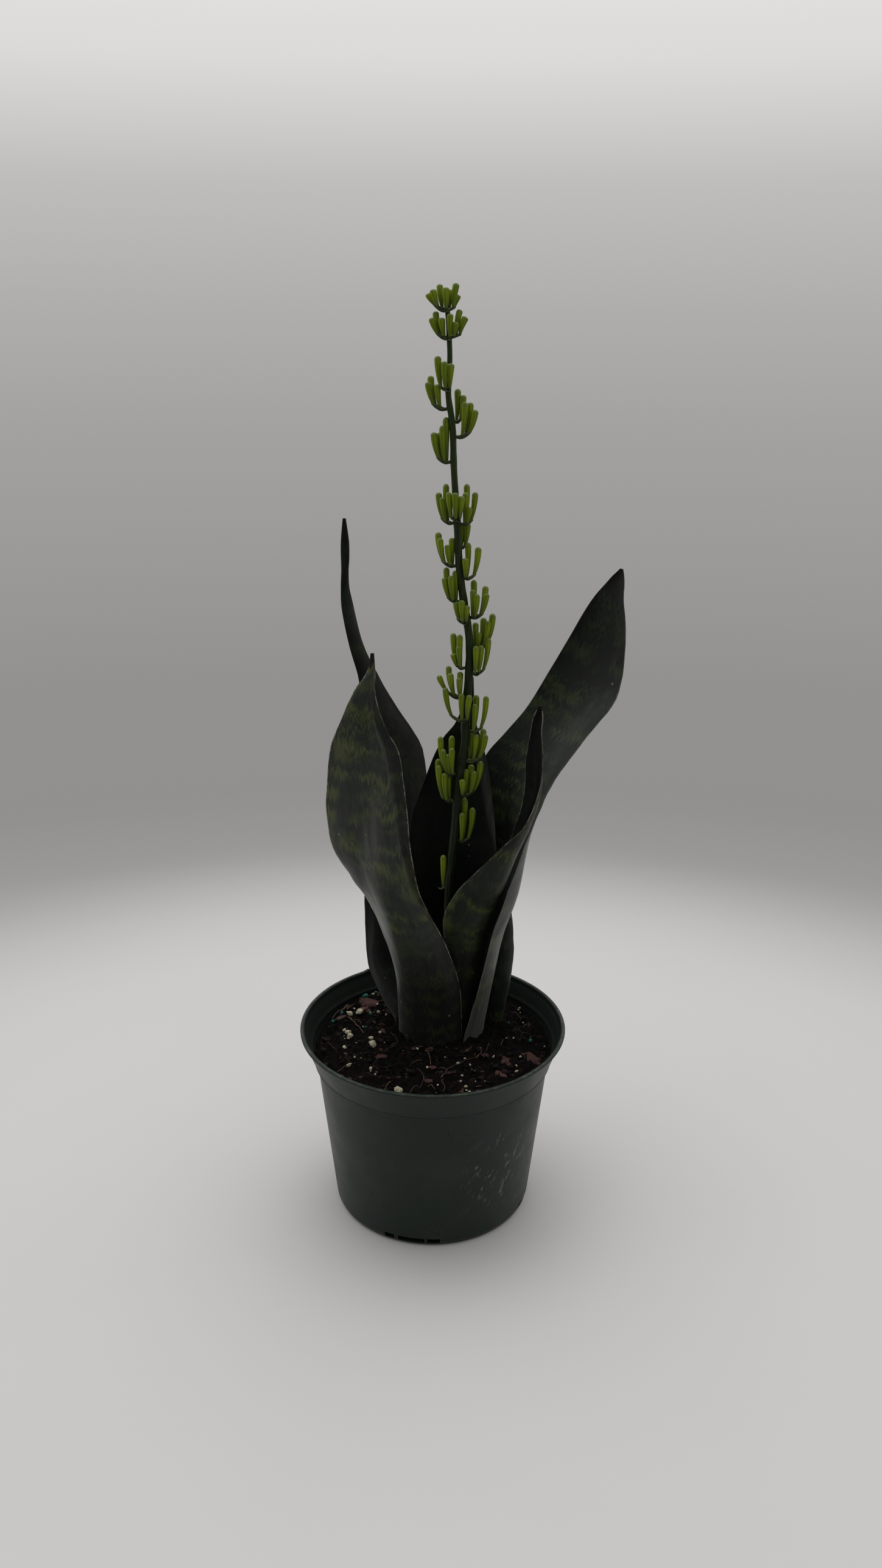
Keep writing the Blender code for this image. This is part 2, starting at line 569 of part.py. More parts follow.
def stalk_mesh(name, grow=0.0):
    """The stalk as a bevelled curve turned into a closed mesh."""
    curve = bpy.data.curves.new(name, "CURVE")
    curve.dimensions = "3D"
    curve.bevel_depth = 1.0
    curve.bevel_resolution = 2
    curve.use_fill_caps = True
    spline = curve.splines.new("POLY")
    points = stalk_points()
    if grow:
        points[0] = (points[0][0] - Vector((0.0, 0.0, grow)), points[0][1])
        points[-1] = (points[-1][0] + Vector((0.0, 0.0, grow)), points[-1][1])
    spline.points.add(len(points) - 1)
    for knot, (place, radius) in zip(spline.points, points):
        knot.co = (*place, 1.0)
        knot.radius = radius + grow
    guide = bpy.data.objects.new(name + "_guide", curve)
    bpy.context.scene.collection.objects.link(guide)
    bpy.context.view_layer.update()
    mesh = applied_mesh(guide)
    bpy.data.objects.remove(guide)
    bpy.data.curves.remove(curve)
    bm = bmesh.new()
    bm.from_mesh(mesh)
    bmesh.ops.remove_doubles(bm, verts=bm.verts, dist=0.01 * MM)
    bmesh.ops.recalc_face_normals(bm, faces=bm.faces)
    bm.to_mesh(mesh)
    bm.free()
    mesh.name = name
    smooth(mesh, 60)
    return mesh


def add_bud(bm, start, tip):
    """One closed bud: a tube that widens upward and ends in a blunt cap."""
    axis = tip - start
    spin = axis.to_track_quat("Z", "Y").to_matrix()
    outline = ((0.0, BUD_FOOT_RADIUS), (0.8, BUD_RADIUS), (0.96, 0.7 * BUD_RADIUS))
    rings = []
    for share, radius in outline:
        ring = []
        for i in range(BUD_SIDES):
            angle = math.tau * i / BUD_SIDES
            offset = Vector((math.cos(angle) * radius, math.sin(angle) * radius, share * axis.length))
            ring.append(bm.verts.new(start + spin @ offset))
        rings.append(ring)
    for lower, upper in zip(rings, rings[1:]):
        for i in range(BUD_SIDES):
            j = (i + 1) % BUD_SIDES
            bm.faces.new((lower[i], lower[j], upper[j], upper[i]))
    bm.faces.new(rings[0][::-1])
    point = bm.verts.new(tip)
    for i in range(BUD_SIDES):
        bm.faces.new((rings[-1][i], rings[-1][(i + 1) % BUD_SIDES], point))


def add_cushion(bm, seat, starts):
    """The swollen foot of a cluster: a hull around its seat on the stalk and the foot of each bud."""
    corners = []
    for middle, radius in [(seat, SEAT_RADIUS)] + [(start, CUSHION_RADIUS) for start in starts]:
        for axis in range(3):
            for side in (-1.0, 1.0):
                offset = Vector((0.0, 0.0, 0.0))
                offset[axis] = side * radius
                corners.append(bm.verts.new(middle + offset))
    hull = bmesh.ops.convex_hull(bm, input=corners)
    unused = set(hull["geom_interior"]) | set(hull["geom_unused"])
    loose = [item for item in unused if isinstance(item, bmesh.types.BMVert)]
    bmesh.ops.delete(bm, geom=loose, context="VERTS")


def add_bract(bm, start, outward):
    """The small scale under a cluster: a curved tongue that bends outward and up."""
    across = outward.cross(Vector((0.0, 0.0, 1.0))).normalized()
    rows = ((0.0, -0.1, 0.6), (0.4, -0.25, 1.0), (0.8, 0.05, 0.8), (1.0, 0.45, 0.25))
    rings = []
    for out, rise, width in rows:
        middle = start + outward * out * BRACT_LENGTH + Vector((0.0, 0.0, rise * BRACT_LENGTH))
        half = across * width * BRACT_WIDTH / 2
        lift = Vector((0.0, 0.0, BRACT_THICKNESS / 2)) - outward * BRACT_THICKNESS / 2
        corners = (middle - half - lift, middle + half - lift, middle + half + lift, middle - half + lift)
        rings.append([bm.verts.new(corner) for corner in corners])
    for lower, upper in zip(rings, rings[1:]):
        for i in range(4):
            j = (i + 1) % 4
            bm.faces.new((lower[i], lower[j], upper[j], upper[i]))
    bm.faces.new(rings[0][::-1])
    bm.faces.new(rings[-1])


def build_clusters(collection, stalk_cutter):
    for number, (height, side, tips) in enumerate(CLUSTERS, 1):
        name = "flower_cluster_%02d" % number
        centre, radius = stalk_at(height)
        turn = math.radians(side)
        outward = Vector((math.cos(turn), math.sin(turn), 0.0))
        seat = centre + outward * (radius + 0.5 * SEAT_RADIUS)
        bm = bmesh.new()
        starts = []
        for tip in tips:
            reach = centre + Vector((tip[0], tip[1], 0.0)) * MM - seat
            starts.append(seat + reach * BUD_SPREAD + Vector((0.0, 0.0, 0.5 * CUSHION_RADIUS)))
        add_cushion(bm, seat, starts)
        for start, tip in zip(starts, tips):
            add_bud(bm, start, centre + Vector(tip) * MM)
        add_bract(bm, seat + outward * 0.3 * SEAT_RADIUS, outward)
        about_centre = Matrix.Translation(-centre)
        bmesh.ops.scale(bm, vec=(1.0, 1.0, PLANT_STRETCH), space=about_centre, verts=bm.verts)
        bmesh.ops.recalc_face_normals(bm, faces=bm.faces)
        mesh = bpy.data.meshes.new(name)
        bm.to_mesh(mesh)
        bm.free()
        smooth(mesh, 60)
        cluster = new_object(name, mesh, collection, new_material(name, BUD_COLOUR, 0.5))
        cut(cluster, stalk_cutter, join_own_parts=True)


def build_stalk(collection, cutters, mix):
    material = new_material("flower_stalk", STALK_COLOUR, 0.5)
    new_object("flower_stalk", stalk_mesh("flower_stalk"), collection, material)
    cutter = make_cutter(new_object("stalk_socket", stalk_mesh("stalk_socket", CLEARANCE), cutters))
    cut(mix, cutter, solver="MANIFOLD")
    build_clusters(collection, cutter)


def loose_mesh(name, share, bearing, half_sizes, turn, tilt, chip, grow=0.0):
    out = share * pot_inner_radius(POT_HEIGHT - MIX_DEPTH_BELOW_RIM)
    x, y = out * math.cos(math.radians(bearing)), out * math.sin(math.radians(bearing))
    size = Matrix.Diagonal([half * MM + grow for half in half_sizes] + [1.0])
    spin = Matrix.Rotation(math.radians(turn), 4, "Z") @ Matrix.Rotation(math.radians(tilt), 4, "Y")
    matrix = Matrix.Translation((x, y, mix_height(x, y))) @ spin @ size
    bm = bmesh.new()
    if chip:
        bmesh.ops.create_cone(
            bm, cap_ends=True, segments=CHIP_SIDES, radius1=1.0, radius2=0.8, depth=2.0, matrix=matrix
        )
    else:
        bmesh.ops.create_icosphere(bm, subdivisions=1, radius=1.0, matrix=matrix)
    mesh = bpy.data.meshes.new(name)
    bm.to_mesh(mesh)
    bm.free()
    return mesh


def build_loose_pieces(collection, cutters, mix):
    for pieces, colour, chip in ((LOOSE_CHIPS, BARK_COLOUR, True), (LOOSE_GRAINS, PERLITE_COLOUR, False)):
        for name, *place in pieces:
            mesh = loose_mesh(name, *place, chip)
            new_object(name, mesh, collection, new_material(name, colour, 0.9))
            socket = loose_mesh(name + "_socket", *place, chip, LOOSE_CLEARANCE)
            cut(mix, make_cutter(new_object(name + "_socket", socket, cutters)), solver="MANIFOLD")


def main():
    clear_scene()
    plant = new_collection("potted_snake_plant")
    cutters = new_collection("cutters")
    build_pot(plant, cutters)
    mix = build_mix(plant, cutters)
    build_leaves(plant, cutters, mix)
    build_stalk(plant, cutters, mix)
    build_loose_pieces(plant, cutters, mix)


main()
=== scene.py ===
"""Looks of the potted snake plant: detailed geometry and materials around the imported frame.

Metres, +Z up, in the frame's own coordinates. Tables of places are in millimetres and degrees.
"""

import math
import random

import bmesh
import bpy
from mathutils import Matrix, Vector, noise


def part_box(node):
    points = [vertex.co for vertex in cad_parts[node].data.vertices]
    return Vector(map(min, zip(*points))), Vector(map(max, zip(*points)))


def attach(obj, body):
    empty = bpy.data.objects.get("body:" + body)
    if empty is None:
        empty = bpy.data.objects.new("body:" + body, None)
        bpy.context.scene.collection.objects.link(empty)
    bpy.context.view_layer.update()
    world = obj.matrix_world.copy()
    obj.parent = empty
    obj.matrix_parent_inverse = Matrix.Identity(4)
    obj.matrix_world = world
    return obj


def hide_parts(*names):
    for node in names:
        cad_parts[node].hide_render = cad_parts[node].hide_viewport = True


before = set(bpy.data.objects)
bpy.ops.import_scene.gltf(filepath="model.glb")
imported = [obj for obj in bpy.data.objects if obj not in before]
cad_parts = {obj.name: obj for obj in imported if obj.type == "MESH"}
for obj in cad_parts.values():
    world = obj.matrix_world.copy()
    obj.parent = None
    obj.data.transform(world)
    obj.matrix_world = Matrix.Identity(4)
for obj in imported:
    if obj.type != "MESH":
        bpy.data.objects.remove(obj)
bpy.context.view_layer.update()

MM = 0.001
PLANT_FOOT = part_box("flower_stalk")[0].z
POT_LOW, POT_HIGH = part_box("pot")
POT_HEIGHT = POT_HIGH.z
RIM_RADIUS = POT_HIGH.x
MIX_LEVEL = POT_HEIGHT - 15.0 * MM
MIX_RADIUS = 71.45 * MM

# Pot profile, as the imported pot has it.
LIP_WIDTH = 2.6 * MM
LIP_DEPTH = 2.0 * MM
COLLAR_TOP_RADIUS = RIM_RADIUS - 1.6 * MM
COLLAR_FOOT_RADIUS = COLLAR_TOP_RADIUS - 6.8 * MM
COLLAR_FOOT = POT_HEIGHT - 20.5 * MM
COLLAR_STEP = 1.2 * MM
FOOT_RADIUS = 59.3 * MM
FOOT_ROUNDING = 4.0 * MM
COLLAR_SLOPE = (COLLAR_TOP_RADIUS - COLLAR_FOOT_RADIUS) / (POT_HEIGHT - LIP_DEPTH - COLLAR_FOOT)
RIDGE = 0.9 * MM
RIDGE_START, RIDGE_LOW, RIDGE_HIGH, RIDGE_END = 0.1035, 0.1042, 0.1052, 0.1060
UNDERSIDE = 0.6 * MM
POT_WALL = 1.3 * MM
POT_FLOOR = 1.8 * MM
POT_STEPS = 144
MERGE_DISTANCE = 0.002 * MM
SLOT_GROUPS = 4
SLOT_GROUP_TURN = -12.0
SLOT_BOTTOM = 2.4 * MM
SLOT_HEIGHT = 3.4 * MM
SLOT_ANGLES = ((-16.0, -10.0), (-7.7, 7.8), (9.2, 16.6))
SLOT_CUT_DEPTH = 18 * MM
NICK_ANGLE, NICK_SPREAD, NICK_HEIGHT = 122.5, 1.6, 0.9 * MM
SCUFFED_PLACE = (0.044, -0.048, 0.046)
GRITTY_PLACES = (((0.020, -0.066, 0.080), 0.016), ((-0.053, -0.050, 0.107), 0.007),
                 ((0.004, -0.060, 0.012), 0.012))

# Leaf rows from the foot up: x, y and height of the middle of the chord between the two edges, half the
# chord, the chord's turn seen from above, its tilt, how far the blade bows out, and the depth of a pleat.
LEAVES = {
    "leaf_front_left": (
        (-1.3, 13.1, 0, 20.5, -22, 0, 16.3), (-1.3, 13.1, 16, 20.5, -22, 0, 16.3),
        (-3, 11.5, 50, 20, -18, 0, 14), (-8, 8, 72, 19, -16, 0, 12), (-14, 4, 90, 18.5, -13, -3, 10.5, 0.6),
        (-21, -1, 108, 17.5, -9, -7, 9, 1.2), (-28.1, -5.5, 123.5, 20.5, -4, -13, 7.5, 1.8),
        (-34.3, -10, 144.5, 22.1, 0, -5, 6.5, 2.2), (-36.6, -15, 168.5, 22.6, 3, -5, 6, 2.2),
        (-36.9, -18.5, 188.5, 20.9, 4, -4, 5.5, 2), (-37, -22.5, 208.5, 18.3, 5, -5, 4.5, 1.8),
        (-37.6, -25.5, 224.5, 11.8, 7, -10, 3, 1.2), (-36.5, -27, 241.5, 5.7, 10, -11, 1.5),
        (-32.8, -27, 253, 2.1, 0, 0, 0.8), (-32.1, -27, 263, 0.8, 0, 0, 0.3),
    ),
    "leaf_back_left": (
        (-12.9, 34.3, 0, 15.3, 50, 0, -7.1), (-12.9, 34.3, 16, 15.3, 50, 0, -7.1),
        (-19, 36, 32, 17, 45, 0, -7), (-25, 38.5, 54, 19, 38, 0, -7), (-23, 42.5, 78, 20, 25, 0, -7),
        (-22, 46, 112, 20.5, 10, 0, -6.5), (-23.5, 49, 147, 20.5, -3, 0, -6),
        (-26.7, 50, 185.5, 20.3, -11, 2, -5), (-32.8, 50, 209, 12.9, -18, 7, -4),
        (-37.6, 48.5, 227.5, 7.4, -29, 12, -3), (-44.9, 49.5, 247.5, 5.2, -33, 12, -2),
        (-49.3, 51, 267, 4.7, -36, 9, -1.5), (-50.9, 51, 280.5, 2.6, -15, 3, -1),
        (-50.8, 51.5, 290, 2, 12, -3, -0.8), (-50.6, 52, 298, 2.3, 16, -3, -0.9),
        (-50.6, 52, 308, 2.2, 4, 0, -0.8), (-50.7, 52, 320.5, 0.8, 0, 0, -0.3),
    ),
    "leaf_back_centre": (
        (6, 28.3, 0, 11.7, 0, 0, -8.2), (6, 28.3, 16, 11.7, 0, 0, -8.2), (7.5, 30, 42, 13.5, 0, 0, -8.6),
        (10.5, 33, 72, 18.5, -2, 0, -9), (12, 34, 92, 23.5, -1, -1, -9), (11.8, 34, 117, 26.4, 0, -2, -8),
        (11.6, 37, 143.5, 25.1, 0, -2, -7), (12.6, 39, 156.5, 22.4, 0, -2, -6),
        (15, 41, 177.5, 17, 0, -3, -4), (16.9, 42, 193.5, 11.5, 0, -4, -2.5),
        (19.1, 43, 206, 5.2, 0, 0, -1.2), (22, 44, 231, 0.8, 0, 0, -0.3),
    ),
    "leaf_back_right": (
        (18.4, 18, 0, 17.4, -90, 0, -12.2), (18.4, 18, 16, 17.4, -90, 0, -12.2),
        (21.5, 18.5, 32, 17.6, -87, 0, -11.4), (25.6, 19.5, 51, 18, -85, 0, -10.4),
        (30.2, 21, 82, 19, -79, 0, -11.5), (34.6, 24, 109, 21.5, -71, -3, -15.5),
        (36.4, 28, 134, 25, -57, -6, -16.4), (40, 31, 155, 27.2, -50, -8, -14),
        (48.2, 35.5, 174.5, 27.2, -50, -9, -12), (60.6, 41, 190.5, 26.1, -47, -4, -10),
        (73.7, 47, 205.5, 24.3, -45, -7, -8), (87.5, 53.5, 225, 23.1, -37, -14, -6),
        (95.3, 60, 244.5, 18.7, -33, -12, -4.5), (101.5, 64, 265, 12.9, -36, -22, -3),
        (106.1, 67.5, 279.5, 6.3, -40, -31, -1.5), (109.1, 70, 289.5, 0.9, 0, -11, -0.3),
    ),
    "leaf_front_right": (
        (12.4, 16.7, 0, 10.7, -105, 0, -11.6), (12.4, 16.7, 16, 10.7, -105, 0, -11.6),
        (14.4, 19.5, 52, 12.4, -108, 0, -14.1), (14.8, 21.4, 72, 13.6, -117, 0, -17),
        (15.5, 23, 92, 15.4, -128, 0, -20), (22, 20, 109, 15.8, -127, 2, -18.5),
        (31, 10.5, 123, 13.8, -124, 14, -13.5), (40.6, 3.5, 141, 12, -103, 20, -8),
        (49.8, -1.5, 159.5, 9.8, -81, 9, -5), (54.5, -6.5, 179.5, 9.6, -67, 16, -4),
        (54.9, -11, 201.5, 8.5, -61, 19, -3), (55.4, -13, 218, 5.1, -57, 20, -2),
        (57.2, -14, 231, 0.7, 0, 0, -0.3),
    ),
    "leaf_outer_short": (
        (37.5, 26.1, 0, 5.6, -192, 0, -3.2), (37.5, 26.1, 16, 5.6, -192, 0, -3.2),
        (39.2, 27, 29, 6.2, -180, 0, -3.2), (41.9, 29, 45.5, 6.7, -171, 0, -3),
        (43.3, 30.7, 60, 6.1, -168, 0, -2.5), (44.4, 31.7, 75, 4.6, -164, 0, -1.6),
        (44.9, 33, 86, 3, -161, 0, -1), (45.8, 33.5, 96, 0.8, -160, 0, -0.3),
    ),
}
LEAF_STEPS_PER_ROW = 5
LEAF_STEPS_ACROSS = 40
LEAF_EDGE_THICKNESS = 0.5 * MM
LEAF_MIDDLE_THICKNESS = 1.7 * MM
PLEAT_RUN = ((50.0, 0.96), (80.0, 0.90), (140.0, 0.68), (190.0, 0.52), (260.0, 0.42))
PLEAT_WIDTH = 0.15
PLEAT_GAIN = 1.35

# How each leaf looks: strength of its pale bands, waxy film outside (partly a painted sheen), dry share at
# the tip, tone outside and inside (set per leaf, partly as painted light and shade), how pale its margins
# are, the painted shade it keeps above a height along the blade, that height, the painted shade at its foot,
# and its specular level and sheen.
LEAF_LOOKS = {
    "leaf_front_left": (1.0, 0.30, 0.030, 1.28, 0.80, 0.9, 1.0, 0.30, 0.20, 0.27, 0.12),
    "leaf_back_left": (0.45, 0.10, 0.045, 1.00, 1.10, 0.12, 0.6, 0.12, 0.7, 0.27, 0.12),
    "leaf_back_centre": (0.35, 0.00, 0.015, 0.80, 0.45, 0.03, 1.0, 0.30, 0.5, 0.25, 0.10),
    "leaf_back_right": (0.80, 0.85, 0.040, 1.50, 0.95, 0.25, 0.5, 0.245, 0.85, 0.25, 0.10),
    "leaf_front_right": (1.0, 0.14, 0.015, 1.20, 0.30, 0.6, 0.3, 0.175, 0.30, 0.12, 0.03),
    "leaf_outer_short": (0.45, 0.00, 0.020, 1.05, 0.90, 0.1, 1.0, 0.30, 0.9, 0.27, 0.12),
}
# A painted highlight, a pale grey streak along a leaf's fold: place across at a place along, its drift across
# per metre, its half width, where it starts and ends along the blade, and its strength.
LEAF_PAINTED_HIGHLIGHTS = {
    "leaf_front_left": (-0.0185, 0.060, 0.182, 0.0080, 0.035, 0.215, 1.0),
    "leaf_back_left": (-0.0165, 0.060, 0.0, 0.0050, 0.025, 0.100, 0.30),
    "leaf_back_centre": (0.0190, 0.165, -0.30, 0.0050, 0.110, 0.230, 0.22),
}

STALK_ROWS = (
    (5.0, 0.0), (5.5, 25.0), (7.5, 52.0), (9.5, 112.0), (10.3, 121.0), (13.0, 152.0), (14.2, 176.0),
    (17.8, 199.0), (17.8, 213.0), (19.6, 243.0), (19.4, 260.0), (15.8, 283.0), (13.5, 301.0),
    (11.9, 327.0), (10.1, 352.0), (9.2, 373.0), (6.8, 390.0), (7.5, 409.0), (6.1, 432.0),
)
STALK_Y = 19.0 * MM
STALK_FOOT_RADIUS = 2.6 * MM
STALK_TOP_RADIUS = 1.2 * MM
STALK_SIDES = 20

# Clusters from the top down: height above the stalk's foot, side of the stalk, tips of the buds.
CLUSTERS = (
    (431.5, -90, ((-10, 1, 7), (-7.5, -3, 9), (-4, 2.5, 11.5), (-1, -3, 10), (1.5, 3, 9), (4.5, -1, 12),
        (5.5, 2, 6.5))),
    (418, -90, ((-7, 1.5, 12), (-9, -2, 9), (-4, -4, 9), (0.5, -5, 11), (3.5, -4, 7), (5.5, 0.5, 13),
        (8.5, -2, 9.5))),
    (393, -100, ((-5.5, -3, 15.5), (-2, -6, 13), (1.5, -5, 12))),
    (383, 165, ((-10, 4, 15.5), (-11.5, 1, 12.5), (-6.5, 1, 11.5))),
    (376.5, 45, ((3, 5, 15.5), (6, 3, 12.5))),
    (369, -15, ((6, -3, 17), (9, 0.5, 16.5), (11.5, -2.5, 13))),
    (356, 180, ((-10.5, -2, 14.5), (-8, 2, 14), (-6, -2.5, 18), (-4, 1, 22))),
    (324, 170, ((-10, 2, 15), (-6, 3, 19.5), (-8, -1, 13))),
    (326.5, -90, ((-4.5, -4, 13.5), (-1, -6, 13.5), (2.5, -4.5, 11.5))),
    (323.5, 0, ((5, 3, 20), (4.5, -1, 16), (9.5, 0.5, 16), (6.5, -2.5, 8.5))),
    (310.5, 60, ((2, 6, 12), (5, 5, 12))),
    (301, 180, ((-11.5, 1, 17), (-10.5, -2.5, 14.5), (-6.5, -3, 11), (-4, 2, 14))),
    (294.5, -20, ((4, 1.5, 18), (9.5, -1, 16), (2.5, -4, 10.5))),
    (281.5, 185, ((-9.5, 2, 17.5), (-10.5, -1.5, 12.5), (-7, -4, 14), (-4.5, 0.5, 16))),
    (270.5, -110, ((-6, -3, 10.5), (-3, -6, 12), (0, -5.5, 9))),
    (272.5, 10, ((4, 3, 19.5), (3.5, -2, 15), (5.5, -4, 13), (10.5, 1, 16.5), (11, -2, 13))),
    (254, 30, ((3, 4, 14), (5, 1.5, 9), (7.5, 5, 16.5), (10, 2, 15.5), (12.5, 4, 19))),
    (241, -25, ((3.5, -3.5, 15.5), (6.5, -2, 15.5), (10.5, 1, 19))),
    (244, 180, ((-9, 1.5, 18.5), (-5.5, -2, 18.5), (-6, -4.5, 12.5), (-9, -1.5, 7.5))),
    (227, 190, ((-16, 0.5, 11.5), (-10.5, 2.5, 16.5), (-9.5, -2, 13.5), (-4.5, -4.5, 11.5),
        (-4, 1.5, 13.5))),
    (214.5, -110, ((-11.5, -3, 18), (-2.5, -6, 15.5), (2, -6, 14.5))),
    (207, -5, ((6, 1.5, 20), (11.5, -0.5, 20), (5, -3.5, 16))),
    (189, 5, ((5, 3.5, 16), (8, -1, 15.5), (12, 2, 18), (13, -2.5, 16))),
    (181, 180, ((-11, 1, 21.5), (-9.5, -2.5, 15), (-4.5, 2.5, 21.5), (-4.5, -3.5, 16), (-7, -2.5, 12))),
    (169, -20, ((2.5, -4.5, 9.5), (5, 0.5, 14), (8, 3, 16), (9.5, -2.5, 14), (13, 0.5, 19))),
    (165, 185, ((-11, 2.5, 23.5), (-10.5, -1.5, 21), (-10.5, 0.5, 16), (-7.5, -3.5, 17), (-5, 1.5, 14.5))),
    (140, 0, ((6, 2, 25), (10.5, -1, 20), (4.5, -3, 17.5))),
    (110, 180, ((-3.5, 0.5, 19.5),)),
)
BUD_RADIUS = 1.70 * MM
BUD_SIDES = 12
# Share of a bud's length, and its radius there as a share of BUD_RADIUS.
BUD_OUTLINE = ((0.0, 0.42), (0.05, 0.52), (0.2, 0.64), (0.4, 0.78), (0.58, 0.90), (0.74, 1.0),
               (0.84, 1.04), (0.915, 0.98), (0.96, 0.82), (0.987, 0.55), (1.0, 0.24))
# A scale's rows in millimetres: out from its seat, down from it, and half its width.
SCALE_ROWS = ((0.0, 0.1, 1.0), (1.0, 0.5, 1.0), (2.2, 0.35, 0.7), (3.1, -0.2, 0.2))
SCALE_THICKNESS = 0.28
DOWN = Vector((0.0, 0.0, -1.0))

# What lies on the mix: x, y and half size.
PERLITE = (
    (-55, 62, 1.3), (-52, 32, 2.0), (-50, 43, 1.3), (-40, 59, 1.0), (-54, 16, 1.7), (-50, 6, 2.0),
    (-53, -5, 1.5), (-37, 4, 1.7), (-32, 10, 1.3), (-34, 34, 1.3), (-29, 32, 1.0), (-35, 41, 0.8),
    (-66, 9, 0.8), (-49, -25, 1.7), (-36, -30, 1.3), (-46, -17, 0.8), (-19, -51, 2.3), (-9, -11, 1.0),
    (21, -12, 1.0), (19, -20, 1.0), (15, -25, 1.2), (22, -25, 0.8), (17, -36, 1.0), (16, -41, 0.8),
    (19, -50, 1.2), (21, -52, 0.8), (-3, -30, 1.0), (5, -33, 0.7), (36, -16, 0.8), (52, -7, 0.7),
    (49, 5, 0.7), (52, -15, 1.0), (49, -29, 1.2), (49, -23, 1.0), (23, -30, 0.7), (55, 41, 0.8),
    (54, 38, 0.7), (56, 23, 0.7), (3, -50, 0.8), (55, 36, 0.5), (-33, -37, 0.7),
)
PRILLS = (
    (-44, 54, 1.7), (-47, 56, 1.2), (-38, 60, 1.1), (-57, 33, 1.1), (-62, 25, 1.3), (-39, 33, 1.2),
    (-41, 16, 0.8), (-54, 9, 1.0), (59, 1, 1.3), (47, 21, 0.7), (-58, 28, 1.0), (30, 55, 1.1),
    (6, 60, 0.9),
)
BARK = (
    (-43, 38, 3.3), (-48, 50, 2.3), (-38, 50, 1.7), (-31, 48, 2.0), (-37, -2, 2.0), (-30, -19, 2.0),
    (-47, -37, 1.8), (-27, -49, 1.5), (-2, -43, 2.0), (40, -34, 3.0), (60, -19, 3.3), (31, -18, 2.0),
    (46, 8, 1.3), (-60, 31, 2.3), (51, 42, 1.3), (-54, 40, 1.7), (-35, 56, 1.7), (-28, 36, 1.7),
    (26, -47, 1.3), (56, 4, 1.0), (10, 58, 2.0), (36, 52, 2.2), (-8, 60, 1.8),
)
ROOTS = (
    ((-66, 30), (-59, 38), (-49, 45)),
    ((-53, 29), (-47, 19), (-42, 9)),
    ((-49, 52), (-47, 56), (-44, 56), (-45, 51)),
    ((-4, -13), (-2, -19), (-1, -27)),
    ((5, -41), (9, -32), (15, -27), (25, -19)),
    ((5, -44), (7, -49), (6, -54)),
    ((-13, -54), (-10, -50), (-7, -50)),
    ((-9, -30), (-5, -41), (-7, -49)),
    ((50, 34), (53, 32), (55, 26)),
    ((-60, 38), (-56, 44), (-50, 40)),
)

FLOOR_RADIUS, FLOOR_SIDES = 1.5, 96
FLOOR_FADES_FROM, FLOOR_GONE_AT = 0.26, 0.60
# Brightness by direction, from straight down (0) through level (0.5) to straight up (1).
BACKDROP_SEEN = (
    (0.0, 0.555), (0.2425, 0.555), (0.2637, 0.53), (0.2845, 0.44), (0.3055, 0.315), (0.3265, 0.278),
    (0.3715, 0.285), (0.46, 0.36), (0.5, 0.42), (0.5415, 0.51), (0.5785, 0.70), (0.65, 0.85), (1.0, 0.95),
)
SURROUND_LIGHT = ((0.0, 0.30), (0.45, 0.30), (0.52, 0.38), (0.65, 0.72), (0.82, 1.05), (1.0, 1.15))
SOFTBOX_SIZE = (1.1, 0.8)
SOFTBOX_WATTS = 5.5
SOFTBOX_PLACE, SOFTBOX_AIM = (-0.12, 0.25, 1.5), (0.0, 0.05, 0.2)
CAMERA_PLACE = (0.0, -0.6892, 0.5178)
CAMERA_TURNS = (0.3477, 0.0060, 0.0058)  # pitch down, yaw and roll, in radians
CAMERA_LENS = 30.047

PERLITE_NODES = ("perlite_grain_back", "perlite_grain_left", "perlite_grain_middle", "perlite_grain_front")
BARK_NODES = ("bark_chip_left", "bark_chip_right", "bark_chip_rim")


